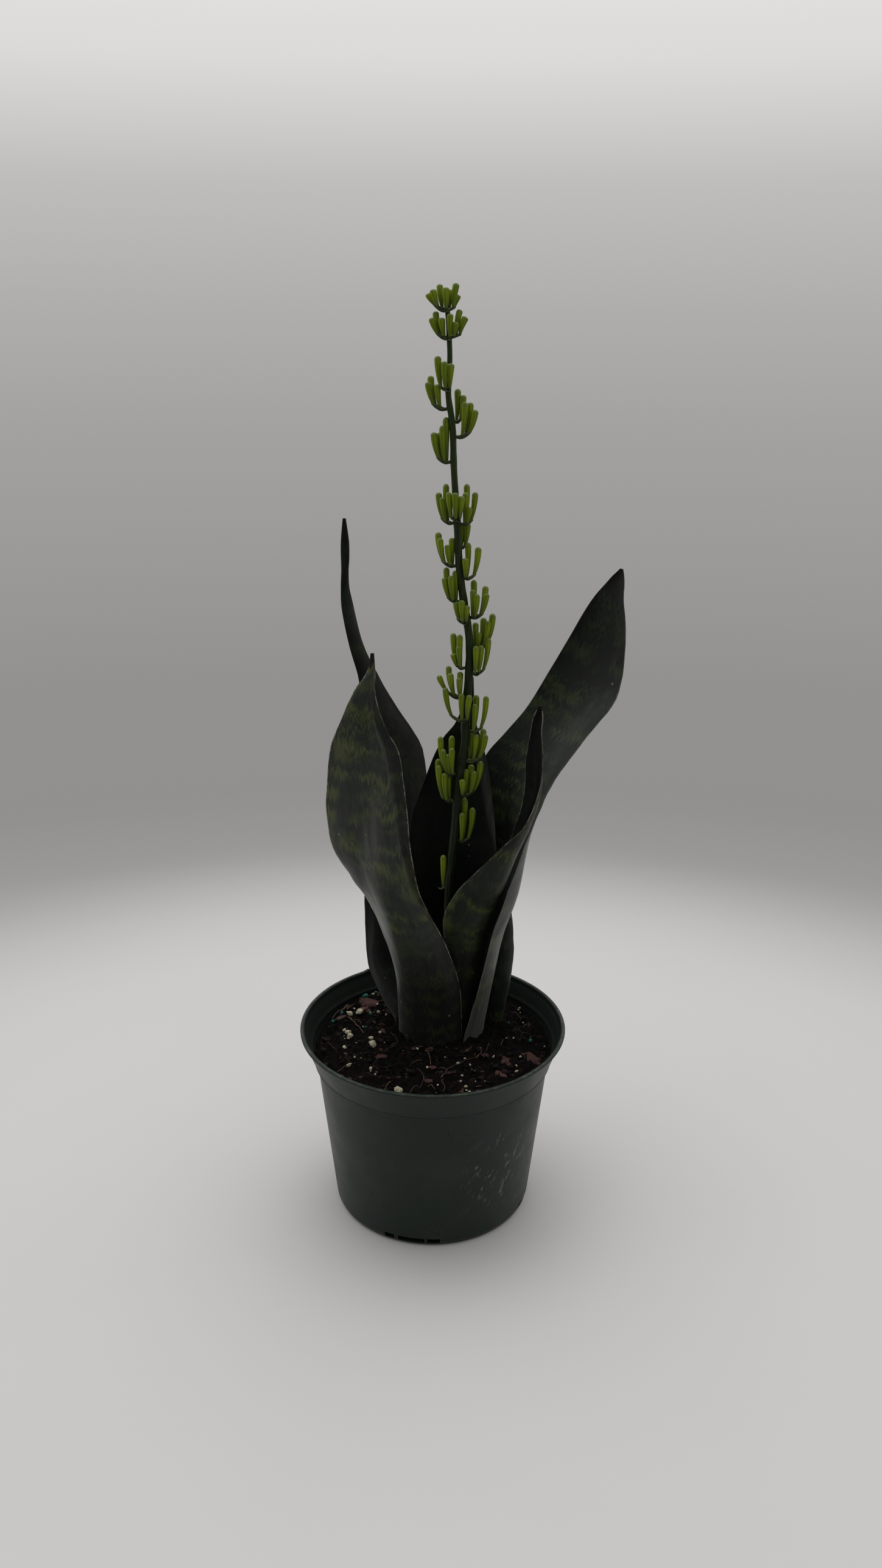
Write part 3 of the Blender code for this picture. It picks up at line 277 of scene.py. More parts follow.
class Look:
    """A small builder of node materials."""

    def __init__(self, name, roughness=0.5, ior=1.45):
        self.material = bpy.data.materials.new(name)
        self.material.use_nodes = True
        self.tree = self.material.node_tree
        self.shader = self.tree.nodes["Principled BSDF"]
        self.shader.inputs["Roughness"].default_value = roughness
        self.shader.inputs["IOR"].default_value = ior
        place = self.tree.nodes.new("ShaderNodeTexCoord")
        self.point = place.outputs["Object"]

    def feed(self, socket, value):
        if isinstance(value, bpy.types.NodeSocket):
            self.tree.links.new(value, socket)
        else:
            socket.default_value = value

    def math(self, operation, first, second=0.0, clamp=False):
        node = self.tree.nodes.new("ShaderNodeMath")
        node.operation = operation
        node.use_clamp = clamp
        self.feed(node.inputs[0], first)
        self.feed(node.inputs[1], second)
        return node.outputs[0]

    def times(self, first, *others):
        for other in others:
            first = self.math("MULTIPLY", first, other)
        return first

    def plus(self, first, second):
        return self.math("ADD", first, second)

    def minus(self, first, second):
        return self.math("SUBTRACT", first, second)

    def paint(self, colour, paint, *shares):
        """The colour with a paint laid over it by the product of the shares."""
        return self.mix(self.times(*shares), colour, paint)

    def mix(self, share, first, second):
        node = self.tree.nodes.new("ShaderNodeMix")
        node.data_type = "RGBA"
        self.feed(node.inputs[0], share)
        for socket, value in ((node.inputs[6], first), (node.inputs[7], second)):
            self.feed(socket, (*value, 1.0) if isinstance(value, tuple) else value)
        return node.outputs[2]

    def noise(self, vector, scale, detail=2.0, roughness=0.5, distortion=0.0):
        node = self.tree.nodes.new("ShaderNodeTexNoise")
        self.feed(node.inputs["Vector"], vector)
        self.feed(node.inputs["Scale"], scale)
        node.inputs["Detail"].default_value = detail
        node.inputs["Roughness"].default_value = roughness
        node.inputs["Distortion"].default_value = distortion
        return node.outputs["Fac"]

    def cells(self, vector, scale):
        node = self.tree.nodes.new("ShaderNodeTexVoronoi")
        self.feed(node.inputs["Vector"], vector)
        self.feed(node.inputs["Scale"], scale)
        return node.outputs["Distance"]

    def remap(self, value, low, high, to_low=0.0, to_high=1.0):
        node = self.tree.nodes.new("ShaderNodeMapRange")
        node.interpolation_type = "SMOOTHSTEP"
        for socket, number in zip(node.inputs[:5], (value, low, high, to_low, to_high)):
            self.feed(socket, number)
        return node.outputs[0]

    def attribute(self, name):
        node = self.tree.nodes.new("ShaderNodeAttribute")
        node.attribute_name = name
        return node.outputs["Fac"]

    def vector(self, x, y, z):
        node = self.tree.nodes.new("ShaderNodeCombineXYZ")
        for socket, value in zip(node.inputs, (x, y, z)):
            self.feed(socket, value)
        return node.outputs[0]

    def scaled(self, vector, factors):
        node = self.tree.nodes.new("ShaderNodeVectorMath")
        node.operation = "MULTIPLY"
        self.feed(node.inputs[0], vector)
        node.inputs[1].default_value = factors
        return node.outputs[0]

    def scaled_by(self, vector, factor):
        node = self.tree.nodes.new("ShaderNodeVectorMath")
        node.operation = "SCALE"
        self.feed(node.inputs[0], vector)
        self.feed(node.inputs["Scale"], factor)
        return node.outputs[0]

    def distance(self, point):
        node = self.tree.nodes.new("ShaderNodeVectorMath")
        node.operation = "DISTANCE"
        self.feed(node.inputs[0], self.point)
        node.inputs[1].default_value = point
        return node.outputs["Value"]

    def near(self, point, full, none):
        """One within a distance of the point, falling to nothing at a further one."""
        return self.remap(self.distance(point), full, none, 1.0, 0.0)

    def parts(self, vector):
        node = self.tree.nodes.new("ShaderNodeSeparateXYZ")
        self.feed(node.inputs[0], vector)
        return node.outputs

    def bump(self, height, strength, distance, normal=None):
        node = self.tree.nodes.new("ShaderNodeBump")
        self.feed(node.inputs["Height"], height)
        node.inputs["Strength"].default_value = strength
        node.inputs["Distance"].default_value = distance
        if normal is not None:
            self.feed(node.inputs["Normal"], normal)
        return node.outputs[0]

    def finish(self, colour, roughness=None, normal=None, **sockets):
        self.feed(self.shader.inputs["Base Color"], colour)
        if roughness is not None:
            self.feed(self.shader.inputs["Roughness"], roughness)
        if normal is not None:
            self.feed(self.shader.inputs["Normal"], normal)
        for name, value in sockets.items():
            self.shader.inputs[name.replace("_", " ")].default_value = value
        return self.material


def new_piece(name, mesh, material, nodes=()):
    obj = bpy.data.objects.new(name, mesh)
    bpy.context.scene.collection.objects.link(obj)
    mesh.materials.clear()
    mesh.materials.append(material)
    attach(obj, "root")
    if nodes:
        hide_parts(*nodes)
    return obj


def mesh_from(name, points, faces, smooth_angle=60.0, **attributes):
    mesh = bpy.data.meshes.new(name)
    mesh.from_pydata([tuple(p) for p in points], [], faces)
    for key, values in attributes.items():
        layer = mesh.attributes.new(key, "FLOAT", "POINT")
        layer.data.foreach_set("value", values)
    mesh.shade_smooth()
    mesh.set_sharp_from_angle(angle=math.radians(smooth_angle))
    mesh.update()
    return mesh


def through_rows(rows, steps):
    """Points on a smooth curve through the rows, each row being a tuple of numbers of the same length."""
    out = []
    last = len(rows) - 1
    for i in range(last):
        before, here = rows[max(i - 1, 0)], rows[i]
        there, after = rows[i + 1], rows[min(i + 2, last)]
        for step in range(steps):
            t = step / steps
            weights = (
                (-t + 2 * t * t - t**3) / 2,
                (2 - 5 * t * t + 3 * t**3) / 2,
                (t + 4 * t * t - 3 * t**3) / 2,
                (-t * t + t**3) / 2,
            )
            values = zip(before, here, there, after)
            out.append(tuple(sum(w * v for w, v in zip(weights, group)) for group in values))
    out.append(tuple(rows[last]))
    return out


def face_outward(mesh, merge=None):
    """Turns every face outward, after merging the points that lie closer than a distance."""
    bm = bmesh.new()
    bm.from_mesh(mesh)
    if merge:
        bmesh.ops.remove_doubles(bm, verts=bm.verts, dist=merge)
    bmesh.ops.recalc_face_normals(bm, faces=bm.faces)
    bm.to_mesh(mesh)
    bm.free()


def rings_to_faces(rings, count):
    """Quads between rings of point numbers that follow each other."""
    faces = []
    for lower, upper in zip(rings, rings[1:]):
        for i in range(count):
            j = (i + 1) % count
            faces.append((lower + i, lower + j, upper + j, upper + i))
    return faces


def turned(profile, steps):
    """Points and faces of a profile of (radius, height) turned about Z, its outer side running down."""
    points = []
    for radius, height in profile:
        for i in range(steps):
            angle = math.tau * i / steps
            points.append((radius * math.cos(angle), radius * math.sin(angle), height))
    rings = [row * steps for row in range(len(profile))]
    return points, [face[::-1] for face in rings_to_faces(rings, steps)]


# --- Pot -------------------------------------------------------------------------------------------------


def rounded(profile, radius, steps=4):
    """The profile with each inner corner rounded by a short arc."""
    out = [profile[0]]
    for before, corner, after in zip(profile, profile[1:], profile[2:]):
        here = Vector(corner)
        to_before, to_after = Vector(before) - here, Vector(after) - here
        reach = min(radius, 0.45 * to_before.length, 0.45 * to_after.length)
        start, end = here + to_before.normalized() * reach, here + to_after.normalized() * reach
        for step in range(steps + 1):
            t = step / steps
            out.append(tuple(start * (1 - t) ** 2 + here * 2 * t * (1 - t) + end * t * t))
    out.append(profile[-1])
    return out


def pot_look():
    look = Look("pot_plastic")
    x, y, z = look.parts(look.point)
    mottled = look.noise(look.point, 45.0, 4.0, 0.6)
    colour = look.mix(mottled, (0.0088, 0.0158, 0.0120), (0.0130, 0.0215, 0.0162))
    # Chalky scuffs on the lower right of the front, in slanting strokes.
    across = look.plus(x, look.times(z, -0.55))
    ahead = look.plus(look.times(z, 0.22), look.times(x, 0.1))
    strokes = look.remap(look.noise(look.vector(across, y, ahead), 330.0, 3.0, 0.7, 0.4), 0.57, 0.72)
    strokes = look.times(strokes, look.near(SCUFFED_PLACE, 0.012, 0.042))
    drawn_out = look.noise(look.scaled(look.point, (1.0, 1.0, 0.5)), 210.0, 3.0, 0.7)
    scuffs = look.math("MAXIMUM", strokes, look.times(look.remap(drawn_out, 0.72, 0.80), 0.35))
    colour = look.paint(colour, (0.20, 0.21, 0.19), scuffs, 0.8)
    dust = look.remap(look.noise(look.point, 28.0, 3.0, 0.6), 0.45, 0.75)
    colour = look.paint(colour, (0.055, 0.05, 0.042), dust, 0.16)
    specks = look.remap(look.cells(look.point, 120.0), 0.04, 0.12, 1.0, 0.0)
    rare = look.remap(look.noise(look.point, 38.0, 1.0), 0.56, 0.60)
    colour = look.paint(colour, (0.004, 0.003, 0.002), specks, rare)
    # Wear and a painted highlight show pale along the lip and along the foot of the collar.
    worn = look.remap(look.noise(look.point, 160.0, 3.0, 0.7), 0.45, 0.62)
    rim = look.remap(z, POT_HEIGHT - 0.9 * MM, POT_HEIGHT - 0.2 * MM)
    from_line = look.math("ABSOLUTE", look.minus(z, COLLAR_FOOT + 0.35 * MM))
    line = look.remap(from_line, 0.0, 0.55 * MM, 1.0, 0.0)
    worn_and_highlit_edges = look.times(look.math("MAXIMUM", look.times(rim, 0.35), line), worn)
    colour = look.paint(colour, (0.15, 0.165, 0.145), worn_and_highlit_edges, 0.5)
    grit = look.remap(look.noise(look.point, 640.0, 3.0, 0.7), 0.57, 0.62)
    for place, reach in GRITTY_PLACES:
        colour = look.paint(colour, (0.003, 0.0022, 0.0018), look.near(place, 0.0, reach), grit, 0.9)
    # Painted shade darkens the collar's inside, most deeply low down and less towards the rim.
    out = look.math("SQRT", look.plus(look.times(x, x), look.times(y, y)))
    up_collar = look.times(look.minus(z, COLLAR_FOOT), COLLAR_SLOPE)
    mid_wall = look.plus(up_collar, COLLAR_FOOT_RADIUS - 0.8 * MM)
    within = look.math("LESS_THAN", out, mid_wall)
    within = look.times(within, look.math("GREATER_THAN", z, COLLAR_FOOT + 1.5 * MM))
    painted_inner_shade = look.times(within, look.remap(z, 0.106, 0.115, 0.96, 0.62))
    colour = look.mix(painted_inner_shade, colour, (0.0010, 0.0032, 0.0016))
    roughness = look.remap(mottled, 0.2, 0.8, 0.36, 0.50)
    roughness = look.math("ADD", roughness, look.times(painted_inner_shade, 0.45), clamp=True)
    roughness = look.math("ADD", roughness, look.times(scuffs, 0.2), clamp=True)
    grain = look.bump(look.noise(look.point, 900.0, 2.0), 0.12, 0.0002)
    waves = look.noise(look.scaled(look.point, (1.0, 1.0, 0.25)), 60.0, 2.0)
    return look.finish(colour, roughness, look.bump(waves, 0.25, 0.0008, grain), Specular_IOR_Level=0.25)


def build_pot():
    step_in = COLLAR_FOOT_RADIUS - COLLAR_STEP
    under_lip = POT_HEIGHT - LIP_DEPTH
    lip_inside = RIM_RADIUS - LIP_WIDTH

    def collar_inner(height):
        return COLLAR_FOOT_RADIUS + COLLAR_SLOPE * (height - COLLAR_FOOT) - POT_WALL

    inside = [
        (FOOT_RADIUS - POT_WALL - FOOT_ROUNDING, POT_FLOOR),
        (FOOT_RADIUS - POT_WALL, POT_FLOOR + FOOT_ROUNDING),
        (step_in - POT_WALL - 0.5 * MM, COLLAR_FOOT - 2 * POT_WALL),
        (collar_inner(0.0998), 0.0998),
        (collar_inner(RIDGE_START), RIDGE_START),
        (collar_inner(0.1040) - RIDGE, RIDGE_LOW),
        (collar_inner(RIDGE_HIGH) - RIDGE, RIDGE_HIGH),
        (collar_inner(RIDGE_END), RIDGE_END),
        (COLLAR_TOP_RADIUS - POT_WALL, under_lip - POT_WALL),
        (lip_inside, under_lip),
    ]
    lip = [
        (lip_inside, POT_HEIGHT - 0.45 * MM),
        (lip_inside + 0.45 * MM, POT_HEIGHT),
        (RIM_RADIUS - 0.5 * MM, POT_HEIGHT),
        (RIM_RADIUS, POT_HEIGHT - 0.5 * MM),
        (RIM_RADIUS, under_lip + 0.5 * MM),
        (COLLAR_TOP_RADIUS, under_lip),
    ]
    outside = [
        (COLLAR_FOOT_RADIUS + COLLAR_SLOPE * 1.4 * MM, COLLAR_FOOT + 1.4 * MM),
        (COLLAR_FOOT_RADIUS + COLLAR_SLOPE * 0.7 * MM + 0.45 * MM, COLLAR_FOOT + 0.7 * MM),
        (COLLAR_FOOT_RADIUS, COLLAR_FOOT),
        (step_in, COLLAR_FOOT - 0.2 * MM),
        (FOOT_RADIUS, FOOT_ROUNDING),
        (FOOT_RADIUS - 0.3 * FOOT_ROUNDING, 0.3 * FOOT_ROUNDING),
        (FOOT_RADIUS - FOOT_ROUNDING, 0.0),
        (FOOT_RADIUS - FOOT_ROUNDING - 3 * MM, 0.0),
        (FOOT_RADIUS - FOOT_ROUNDING - 5 * MM, UNDERSIDE),
    ]
    profile = rounded(inside[:1] + inside + lip + outside + outside[-1:], 0.45 * MM, 3)
    points, faces = turned(profile, POT_STEPS)
    for ring, height, flip in ((0, POT_FLOOR, True), (len(profile) - 1, UNDERSIDE, False)):
        centre = len(points)
        points.append((0.0, 0.0, height))
        for i in range(POT_STEPS):
            a, b = ring * POT_STEPS + i, ring * POT_STEPS + (i + 1) % POT_STEPS
            faces.append((a, b, centre) if flip else (b, a, centre))
    out = []
    for x, y, z in points:
        # A thin moulded wall is never quite round, and this one carries a small nick on its rim.
        angle = math.atan2(y, x)
        bend = 1.0 + 0.0016 * math.sin(2 * angle + 0.7) + 0.0008 * math.sin(5 * angle + 2.0)
        nick = math.exp(-((math.degrees(angle) - NICK_ANGLE) / NICK_SPREAD) ** 2) if z > under_lip else 0.0
        out.append((x * bend, y * bend, z + NICK_HEIGHT * nick))
    mesh = mesh_from("pot_shell", out, faces, 38)
    mesh.validate()
    face_outward(mesh, MERGE_DISTANCE)
    pot = new_piece("pot_shell", mesh, pot_look(), ["pot"])
    cutter_mesh = bpy.data.meshes.new("slot_cutters")
    bm = bmesh.new()
    for group in range(SLOT_GROUPS):
        for start, end in SLOT_ANGLES:
            middle = math.radians((start + end) / 2 + SLOT_GROUP_TURN + group * 360 / SLOT_GROUPS)
            width = 2 * FOOT_RADIUS * math.sin(math.radians(end - start) / 2)
            size = Matrix.Diagonal((width, SLOT_CUT_DEPTH, SLOT_HEIGHT, 1.0))
            place = Matrix.Translation((0.0, -FOOT_RADIUS, SLOT_BOTTOM + SLOT_HEIGHT / 2))
            bmesh.ops.create_cube(bm, size=1.0, matrix=Matrix.Rotation(middle, 4, "Z") @ place @ size)
    bm.to_mesh(cutter_mesh)
    bm.free()
    cutter = bpy.data.objects.new("slot_cutters", cutter_mesh)
    bpy.context.scene.collection.objects.link(cutter)
    modifier = pot.modifiers.new("slots", "BOOLEAN")
    modifier.operation = "DIFFERENCE"
    modifier.solver = "EXACT"
    modifier.object = cutter
    bpy.context.view_layer.update()
    graph = bpy.context.evaluated_depsgraph_get()
    made = bpy.data.meshes.new_from_object(pot.evaluated_get(graph))
    pot.modifiers.clear()
    pot.data = made
    bpy.data.objects.remove(cutter)


# --- Potting mix -----------------------------------------------------------------------------------------


def mix_height(x, y):
    """Height of the mix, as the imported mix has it."""
    mound = 3.5 * MM * max(0.0, 1.0 - (x * x + y * y) / MIX_RADIUS**2)
    back = 5.0 * MM * max(0.0, y / MIX_RADIUS) ** 2
    rough = 1.1 * MM * noise.noise(Vector((x, y, 0.0)) / (9.0 * MM))
    return MIX_LEVEL + mound + back + rough


def crumbly(x, y):
    """The mix's height with its crumbs."""
    place = Vector((x, y, 0.0))
    lumps = noise.turbulence(place / (4.0 * MM), 3, False, noise_basis="PERLIN_ORIGINAL")
    grit = noise.noise(place / (1.3 * MM))
    return mix_height(x, y) + (lumps - 0.45) * 3.2 * MM + grit * 0.6 * MM


def mix_look():
    look = Look("potting_mix", roughness=0.95)
    tone = look.noise(look.point, 420.0, 4.0, 0.7)
    colour = look.mix(look.remap(tone, 0.3, 0.7), (0.0005, 0.0004, 0.0004), (0.0045, 0.0030, 0.0023))
    brown = look.remap(look.noise(look.point, 150.0, 2.0), 0.58, 0.72)
    colour = look.paint(colour, (0.014, 0.0065, 0.0045), brown, 0.5)
    fleck = look.remap(look.noise(look.scaled(look.point, (1.0, 0.35, 1.0)), 900.0, 2.0), 0.70, 0.78)
    colour = look.paint(colour, (0.060, 0.042, 0.026), fleck, 0.5)
    normal = look.bump(look.noise(look.point, 1100.0, 4.0, 0.75), 0.9, 0.0010)
    return look.finish(colour, 0.95, normal, Specular_IOR_Level=0.12)


def build_mix():
    steps, rings = 150, 52
    edge_height = MIX_LEVEL - 2.0 * MM
    points, faces = [(0.0, 0.0, crumbly(0.0, 0.0))], []
    outer = MIX_RADIUS - 1.0 * MM
    for ring in range(1, rings + 1):
        for i in range(steps):
            angle = math.tau * (i + 0.5 * (ring % 2)) / steps
            radius = outer * (ring / rings) ** 0.9
            x, y = radius * math.cos(angle), radius * math.sin(angle)
            height = crumbly(x, y)
            if ring == rings:
                height = min(height, MIX_LEVEL + 1.5 * MM)
            points.append((x, y, height))
    for i in range(steps):
        faces.append((0, 1 + i, 1 + (i + 1) % steps))
    for ring in range(rings - 1):
        low, high = 1 + ring * steps, 1 + (ring + 1) * steps
        for i in range(steps):
            j = (i + 1) % steps
            faces.append((low + i, high + i, high + j, low + j))
    side = [(69.5 * MM, edge_height), (66.5 * MM, 94 * MM), (57.3 * MM, 6.2 * MM), (53.5 * MM, 2.3 * MM)]
    previous = 1 + (rings - 1) * steps
    for radius, height in side:
        first = len(points)
        for i in range(steps):
            angle = math.tau * (i + 0.5 * (rings % 2)) / steps
            uneven = noise.noise(Vector((math.cos(angle), math.sin(angle), height * 60)) * 9)
            wobble = radius * (1.0 + 0.004 * uneven)
            points.append((wobble * math.cos(angle), wobble * math.sin(angle), height))
        for i in range(steps):
            j = (i + 1) % steps
            faces.append((previous + i, first + i, first + j, previous + j))
        previous = first
    centre = len(points)
    points.append((0.0, 0.0, 2.3 * MM))
    for i in range(steps):
        faces.append((previous + (i + 1) % steps, previous + i, centre))
    mesh = mesh_from("mix_bed", points, faces, 80)
    new_piece("mix_bed", mesh, mix_look(), ["potting_mix"])


def add_lump(points, faces, tones, place, half_sizes, turn, tone, roughness, detail):
    """An uneven stone-like lump, as a roughened icosphere."""
    bm = bmesh.new()
    bmesh.ops.create_icosphere(bm, subdivisions=detail, radius=1.0)
    spin = Matrix.Rotation(turn[0], 3, "Z")
    for angle, axis in ((turn[1], "X"), (turn[2], "Y")):
        spin = spin @ Matrix.Rotation(angle, 3, axis)
    first = len(points)
    shift = Vector((place[0] * 977.0, place[1] * 977.0, 0.0))
    for vertex in bm.verts:
        wave = 1.0 + roughness * 2.0 * noise.noise(vertex.co * 1.3 + shift)
        shape = Vector([length * half for length, half in zip(vertex.co, half_sizes)])
        points.append(Vector(place) + spin @ (shape * wave))
        tones.append(tone)
    for face in bm.faces:
        faces.append(tuple(first + vertex.index for vertex in face.verts))
    bm.free()


def clear_of_plant(x, y):
    """False where a leaf or the stalk rises out of the mix."""
    return math.hypot((x - 9 * MM) / (40 * MM), (y - 21 * MM) / (29 * MM)) > 1.0


def inside_pot(x, y, margin):
    """The place, in millimetres, pulled in where it would reach the pot's wall."""
    spread, most = math.hypot(x, y), MIX_RADIUS / MM - 1.2 - margin
    share = min(1.0, most / spread)
    return x * share, y * share


def scattered(count, low, high, seed):
    """Evenly strewn places on the mix with a size for each."""
    rng = random.Random(seed)
    out = []
    while len(out) < count:
        radius, angle = (MIX_RADIUS - 4 * MM) * math.sqrt(rng.random()), math.tau * rng.random()
        x, y = radius * math.cos(angle), radius * math.sin(angle)
        size = low + (high - low) * rng.random() ** 2
        if clear_of_plant(x, y):
            out.append((x, y, size, rng))
    return out


def grain_look(name, dark, pale, roughness, scale, own_tone=0.5):
    """A grainy look, where each piece's own tone counts for a share of its colour."""
    look = Look(name, roughness=roughness)
    tone = look.times(look.attribute("tone"), own_tone)
    patch = look.plus(look.times(look.noise(look.point, scale, 3.0, 0.6), 1.0 - own_tone), tone)
    colour = look.mix(look.remap(patch, 0.25, 0.75), dark, pale)
    normal = look.bump(look.noise(look.point, scale * 3.0, 3.0, 0.6), 0.6, 0.0004)
    return look.finish(colour, None, normal, Specular_IOR_Level=0.2)


def bead_look():
    look = Look("fertiliser_beads", roughness=0.32)
    tone = look.noise(look.point, 700.0, 3.0)
    colour = look.mix(look.remap(tone, 0.35, 0.7), (0.004, 0.055, 0.042), (0.012, 0.135, 0.095))
    dirt = look.remap(look.noise(look.point, 1500.0, 2.0), 0.58, 0.68)
    colour = look.paint(colour, (0.010, 0.008, 0.006), dirt, 0.7)
    return look.finish(colour, 0.35, look.bump(tone, 0.3, 0.0002), Specular_IOR_Level=0.35)


def build_loose_pieces():
    rng = random.Random(5)
    perlite, bark = [], []
    for x, y, size in PERLITE:
        size = size * 0.90
        for part in range(1 if size < 1.2 else 2):
            shift = Vector((rng.uniform(-1, 1), rng.uniform(-1, 1), 0.0)) * size * 0.7 * part
            perlite.append((x + shift.x, y + shift.y, size * (1.0 - 0.3 * part), 0.9))
    for name in PERLITE_NODES:
        low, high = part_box(name)
        middle = (low + high) / 2
        perlite.append((middle.x / MM, middle.y / MM, (high.x - low.x) / MM * 0.5, 0.85))
    for x, y, size, source in scattered(70, 0.25, 0.75, 11):
        perlite.append((x / MM, y / MM, size, source.random()))
    beads = [(*prill, 0.5) for prill in PRILLS]
    for x, y, size in BARK:
        bark.append((x, y, size, rng.random()))
    for name in BARK_NODES:
        low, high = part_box(name)
        middle = (low + high) / 2
        bark.append((middle.x / MM, middle.y / MM, 4.6, 0.6))
    for x, y, size, source in scattered(90, 0.8, 2.2, 12):
        bark.append((x / MM, y / MM, size, source.random() * 0.6))
    crumbs = [(x / MM, y / MM, size, source.random()) for x, y, size, source in scattered(520, 0.5, 1.7, 13)]
    perlite_look = grain_look("perlite_grains", (0.09, 0.075, 0.045), (0.40, 0.37, 0.26), 0.85, 600.0, 0.75)
    bark_look = grain_look("bark_chips", (0.006, 0.003, 0.0025), (0.078, 0.036, 0.031), 0.85, 400.0)
    crumb_look = grain_look("peat_crumbs", (0.0004, 0.0004, 0.0004), (0.012, 0.0065, 0.0048), 0.9, 500.0)
    # Name, places, look, slot, replaced nodes; then the share of its width that a piece is tall, how far it
    # stands out of the mix, how much longer than wide it may be, its tilt, its unevenness, and sharp angle.
    kinds = (
        ("perlite_grains", perlite, perlite_look, "perlite", PERLITE_NODES, 0.8, 0.8, 1.3, 0.6, 0.3, 70),
        ("bark_chips", bark, bark_look, "bark", BARK_NODES, 0.34, 0.45, 1.7, 0.15, 0.45, 30),
        ("fertiliser_beads", beads, bead_look(), "perlite", (), 1.0, 0.9, None, 0.6, 0.04, 70),
        ("peat_crumbs", crumbs, crumb_look, "potting_mix", (), 0.6, 0.45, 1.3, 0.6, 0.45, 70),
    )
    for name, lumps, material, slot, nodes, flat, lift, longest, tilt, uneven, angle in kinds:
        points, faces, tones = [], [], []
        for x, y, size, tone in lumps:
            half = size * MM
            long = rng.uniform(1.0, longest) if longest else 1.0
            sizes = (half * long, half / long**0.5, half * flat)
            x, y = inside_pot(x, y, size * long * 1.45)
            turn = (rng.uniform(0, math.tau), rng.uniform(-tilt, tilt), rng.uniform(-tilt, tilt))
            place = (x * MM, y * MM, crumbly(x * MM, y * MM) + sizes[2] * lift)
            detail = 2 if name == "fertiliser_beads" or size > 1.6 else 1
            add_lump(points, faces, tones, place, sizes, turn, tone, uneven, detail)
        new_piece(name, mesh_from(name, points, faces, angle, tone=tones), material, nodes)


def tube(points, faces, path, radii, sides, values=None, value=None):
    """Adds a closed tube along a path, capped flat at both ends."""
    rings = []
    side = None
    for i, place in enumerate(path):
        along = (path[min(i + 1, len(path) - 1)] - path[max(i - 1, 0)]).normalized()
        if side is None:
            side = along.orthogonal().normalized()
        side = (side - along * side.dot(along)).normalized()
        other = along.cross(side)
        rings.append(len(points))
        for k in range(sides):
            angle = math.tau * k / sides
            points.append(place + (side * math.cos(angle) + other * math.sin(angle)) * radii[i])
            if values is not None:
                values.append(value(i, k))
    faces.extend(rings_to_faces(rings, sides))
    faces.append(tuple(range(rings[0], rings[0] + sides))[::-1])
    faces.append(tuple(range(rings[-1], rings[-1] + sides)))


def build_roots():
    points, faces = [], []
    rng = random.Random(8)
    paths = [[(x * MM, y * MM) for x, y in (inside_pot(*place, 1.5) for place in root)] for root in ROOTS]
    for x, y, size, source in scattered(34, 2.5, 7.0, 21):
        angle = source.uniform(0, math.tau)
        reach = Vector((math.cos(angle), math.sin(angle))) * size * MM
        bend = Vector((-reach.y, reach.x)) * source.uniform(-0.5, 0.5)
        start = Vector((x, y))
        ends = [start - reach, start + bend, start + reach]
        if all(p.length < MIX_RADIUS - 3 * MM for p in ends):
            paths.append([tuple(p) for p in ends])
    for number, path in enumerate(paths):
        lift = rng.uniform(0.6, 1.6) * MM
        rows = [(x, y, 0.0) for x, y in path]
        smooth = through_rows(rows, 6)
        line = []
        for i, (x, y, _) in enumerate(smooth):
            arch = math.sin(math.pi * i / (len(smooth) - 1))
            ground = crumbly(x, y) * 0.4 + mix_height(x, y) * 0.6
            line.append(Vector((x, y, ground + 0.3 * MM + lift * arch)))
        thick = (0.42 if number == 1 else rng.uniform(0.13, 0.28)) * MM
        radii = [thick * (1.0 - 0.5 * i / len(line)) for i in range(len(line))]
        tube(points, faces, line, radii, 6)
    look = Look("fine_roots", roughness=0.8)
    tone = look.noise(look.point, 300.0, 3.0)
    colour = look.mix(look.remap(tone, 0.3, 0.7), (0.035, 0.018, 0.010), (0.13, 0.085, 0.050))
    material = look.finish(colour, 0.8, look.bump(look.noise(look.point, 2500.0, 2.0), 0.3, 0.0001))
    new_piece("fine_roots", mesh_from("fine_roots", points, faces, 80), material)


# --- Leaves ----------------------------------------------------------------------------------------------


def leaf_stations(rows):
    """Every station of a leaf: its middle, chord direction, bow direction, half chord, bow and pleat."""
    full = [tuple(row) + (0.0,) * (8 - len(row)) for row in rows]
    stations = through_rows(full, LEAF_STEPS_PER_ROW)
    middles = [Vector((s[0] * MM, s[1] * MM, PLANT_FOOT + s[2] * MM)) for s in stations]
    out = []
    for i, station in enumerate(stations):
        along = middles[min(i + 1, len(middles) - 1)] - middles[max(i - 1, 0)]
        if i < LEAF_STEPS_PER_ROW:
            along = Vector((0.0, 0.0, 1.0))
        turn, tilt = math.radians(station[4]), math.radians(station[5])
        chord = Vector((math.cos(turn) * math.cos(tilt), math.sin(turn) * math.cos(tilt), math.sin(tilt)))
        bow = chord.cross(along).normalized()
        out.append((middles[i], chord, bow, max(station[3], 0.4) * MM, station[6] * MM, station[7] * MM))
    return out


def pleat_ridge(height):
    """How far across the blade the pleat's ridge lies at a height in millimetres."""
    for (low, at_low), (high, at_high) in zip(PLEAT_RUN, PLEAT_RUN[1:]):
        if height <= high:
            return at_low + (at_high - at_low) * max(0.0, height - low) / (high - low)
    return PLEAT_RUN[-1][1]


def pleat_shape(share, ridge):
    """The pleat's rise and fall: a slow climb to its ridge, a steep drop behind it, and a slow return."""
    if share < ridge:
        return PLEAT_GAIN * max(0.0, 1.0 - (ridge - share) / 0.45) ** 2
    drop = min(1.0, (share - ridge) / PLEAT_WIDTH)
    back = max(0.0, (share - ridge - PLEAT_WIDTH) / max(0.05, 1.0 - ridge - PLEAT_WIDTH))
    return PLEAT_GAIN * (1.0 - 2.0 * drop * drop * (3 - 2 * drop) + 0.8 * min(1.0, back))


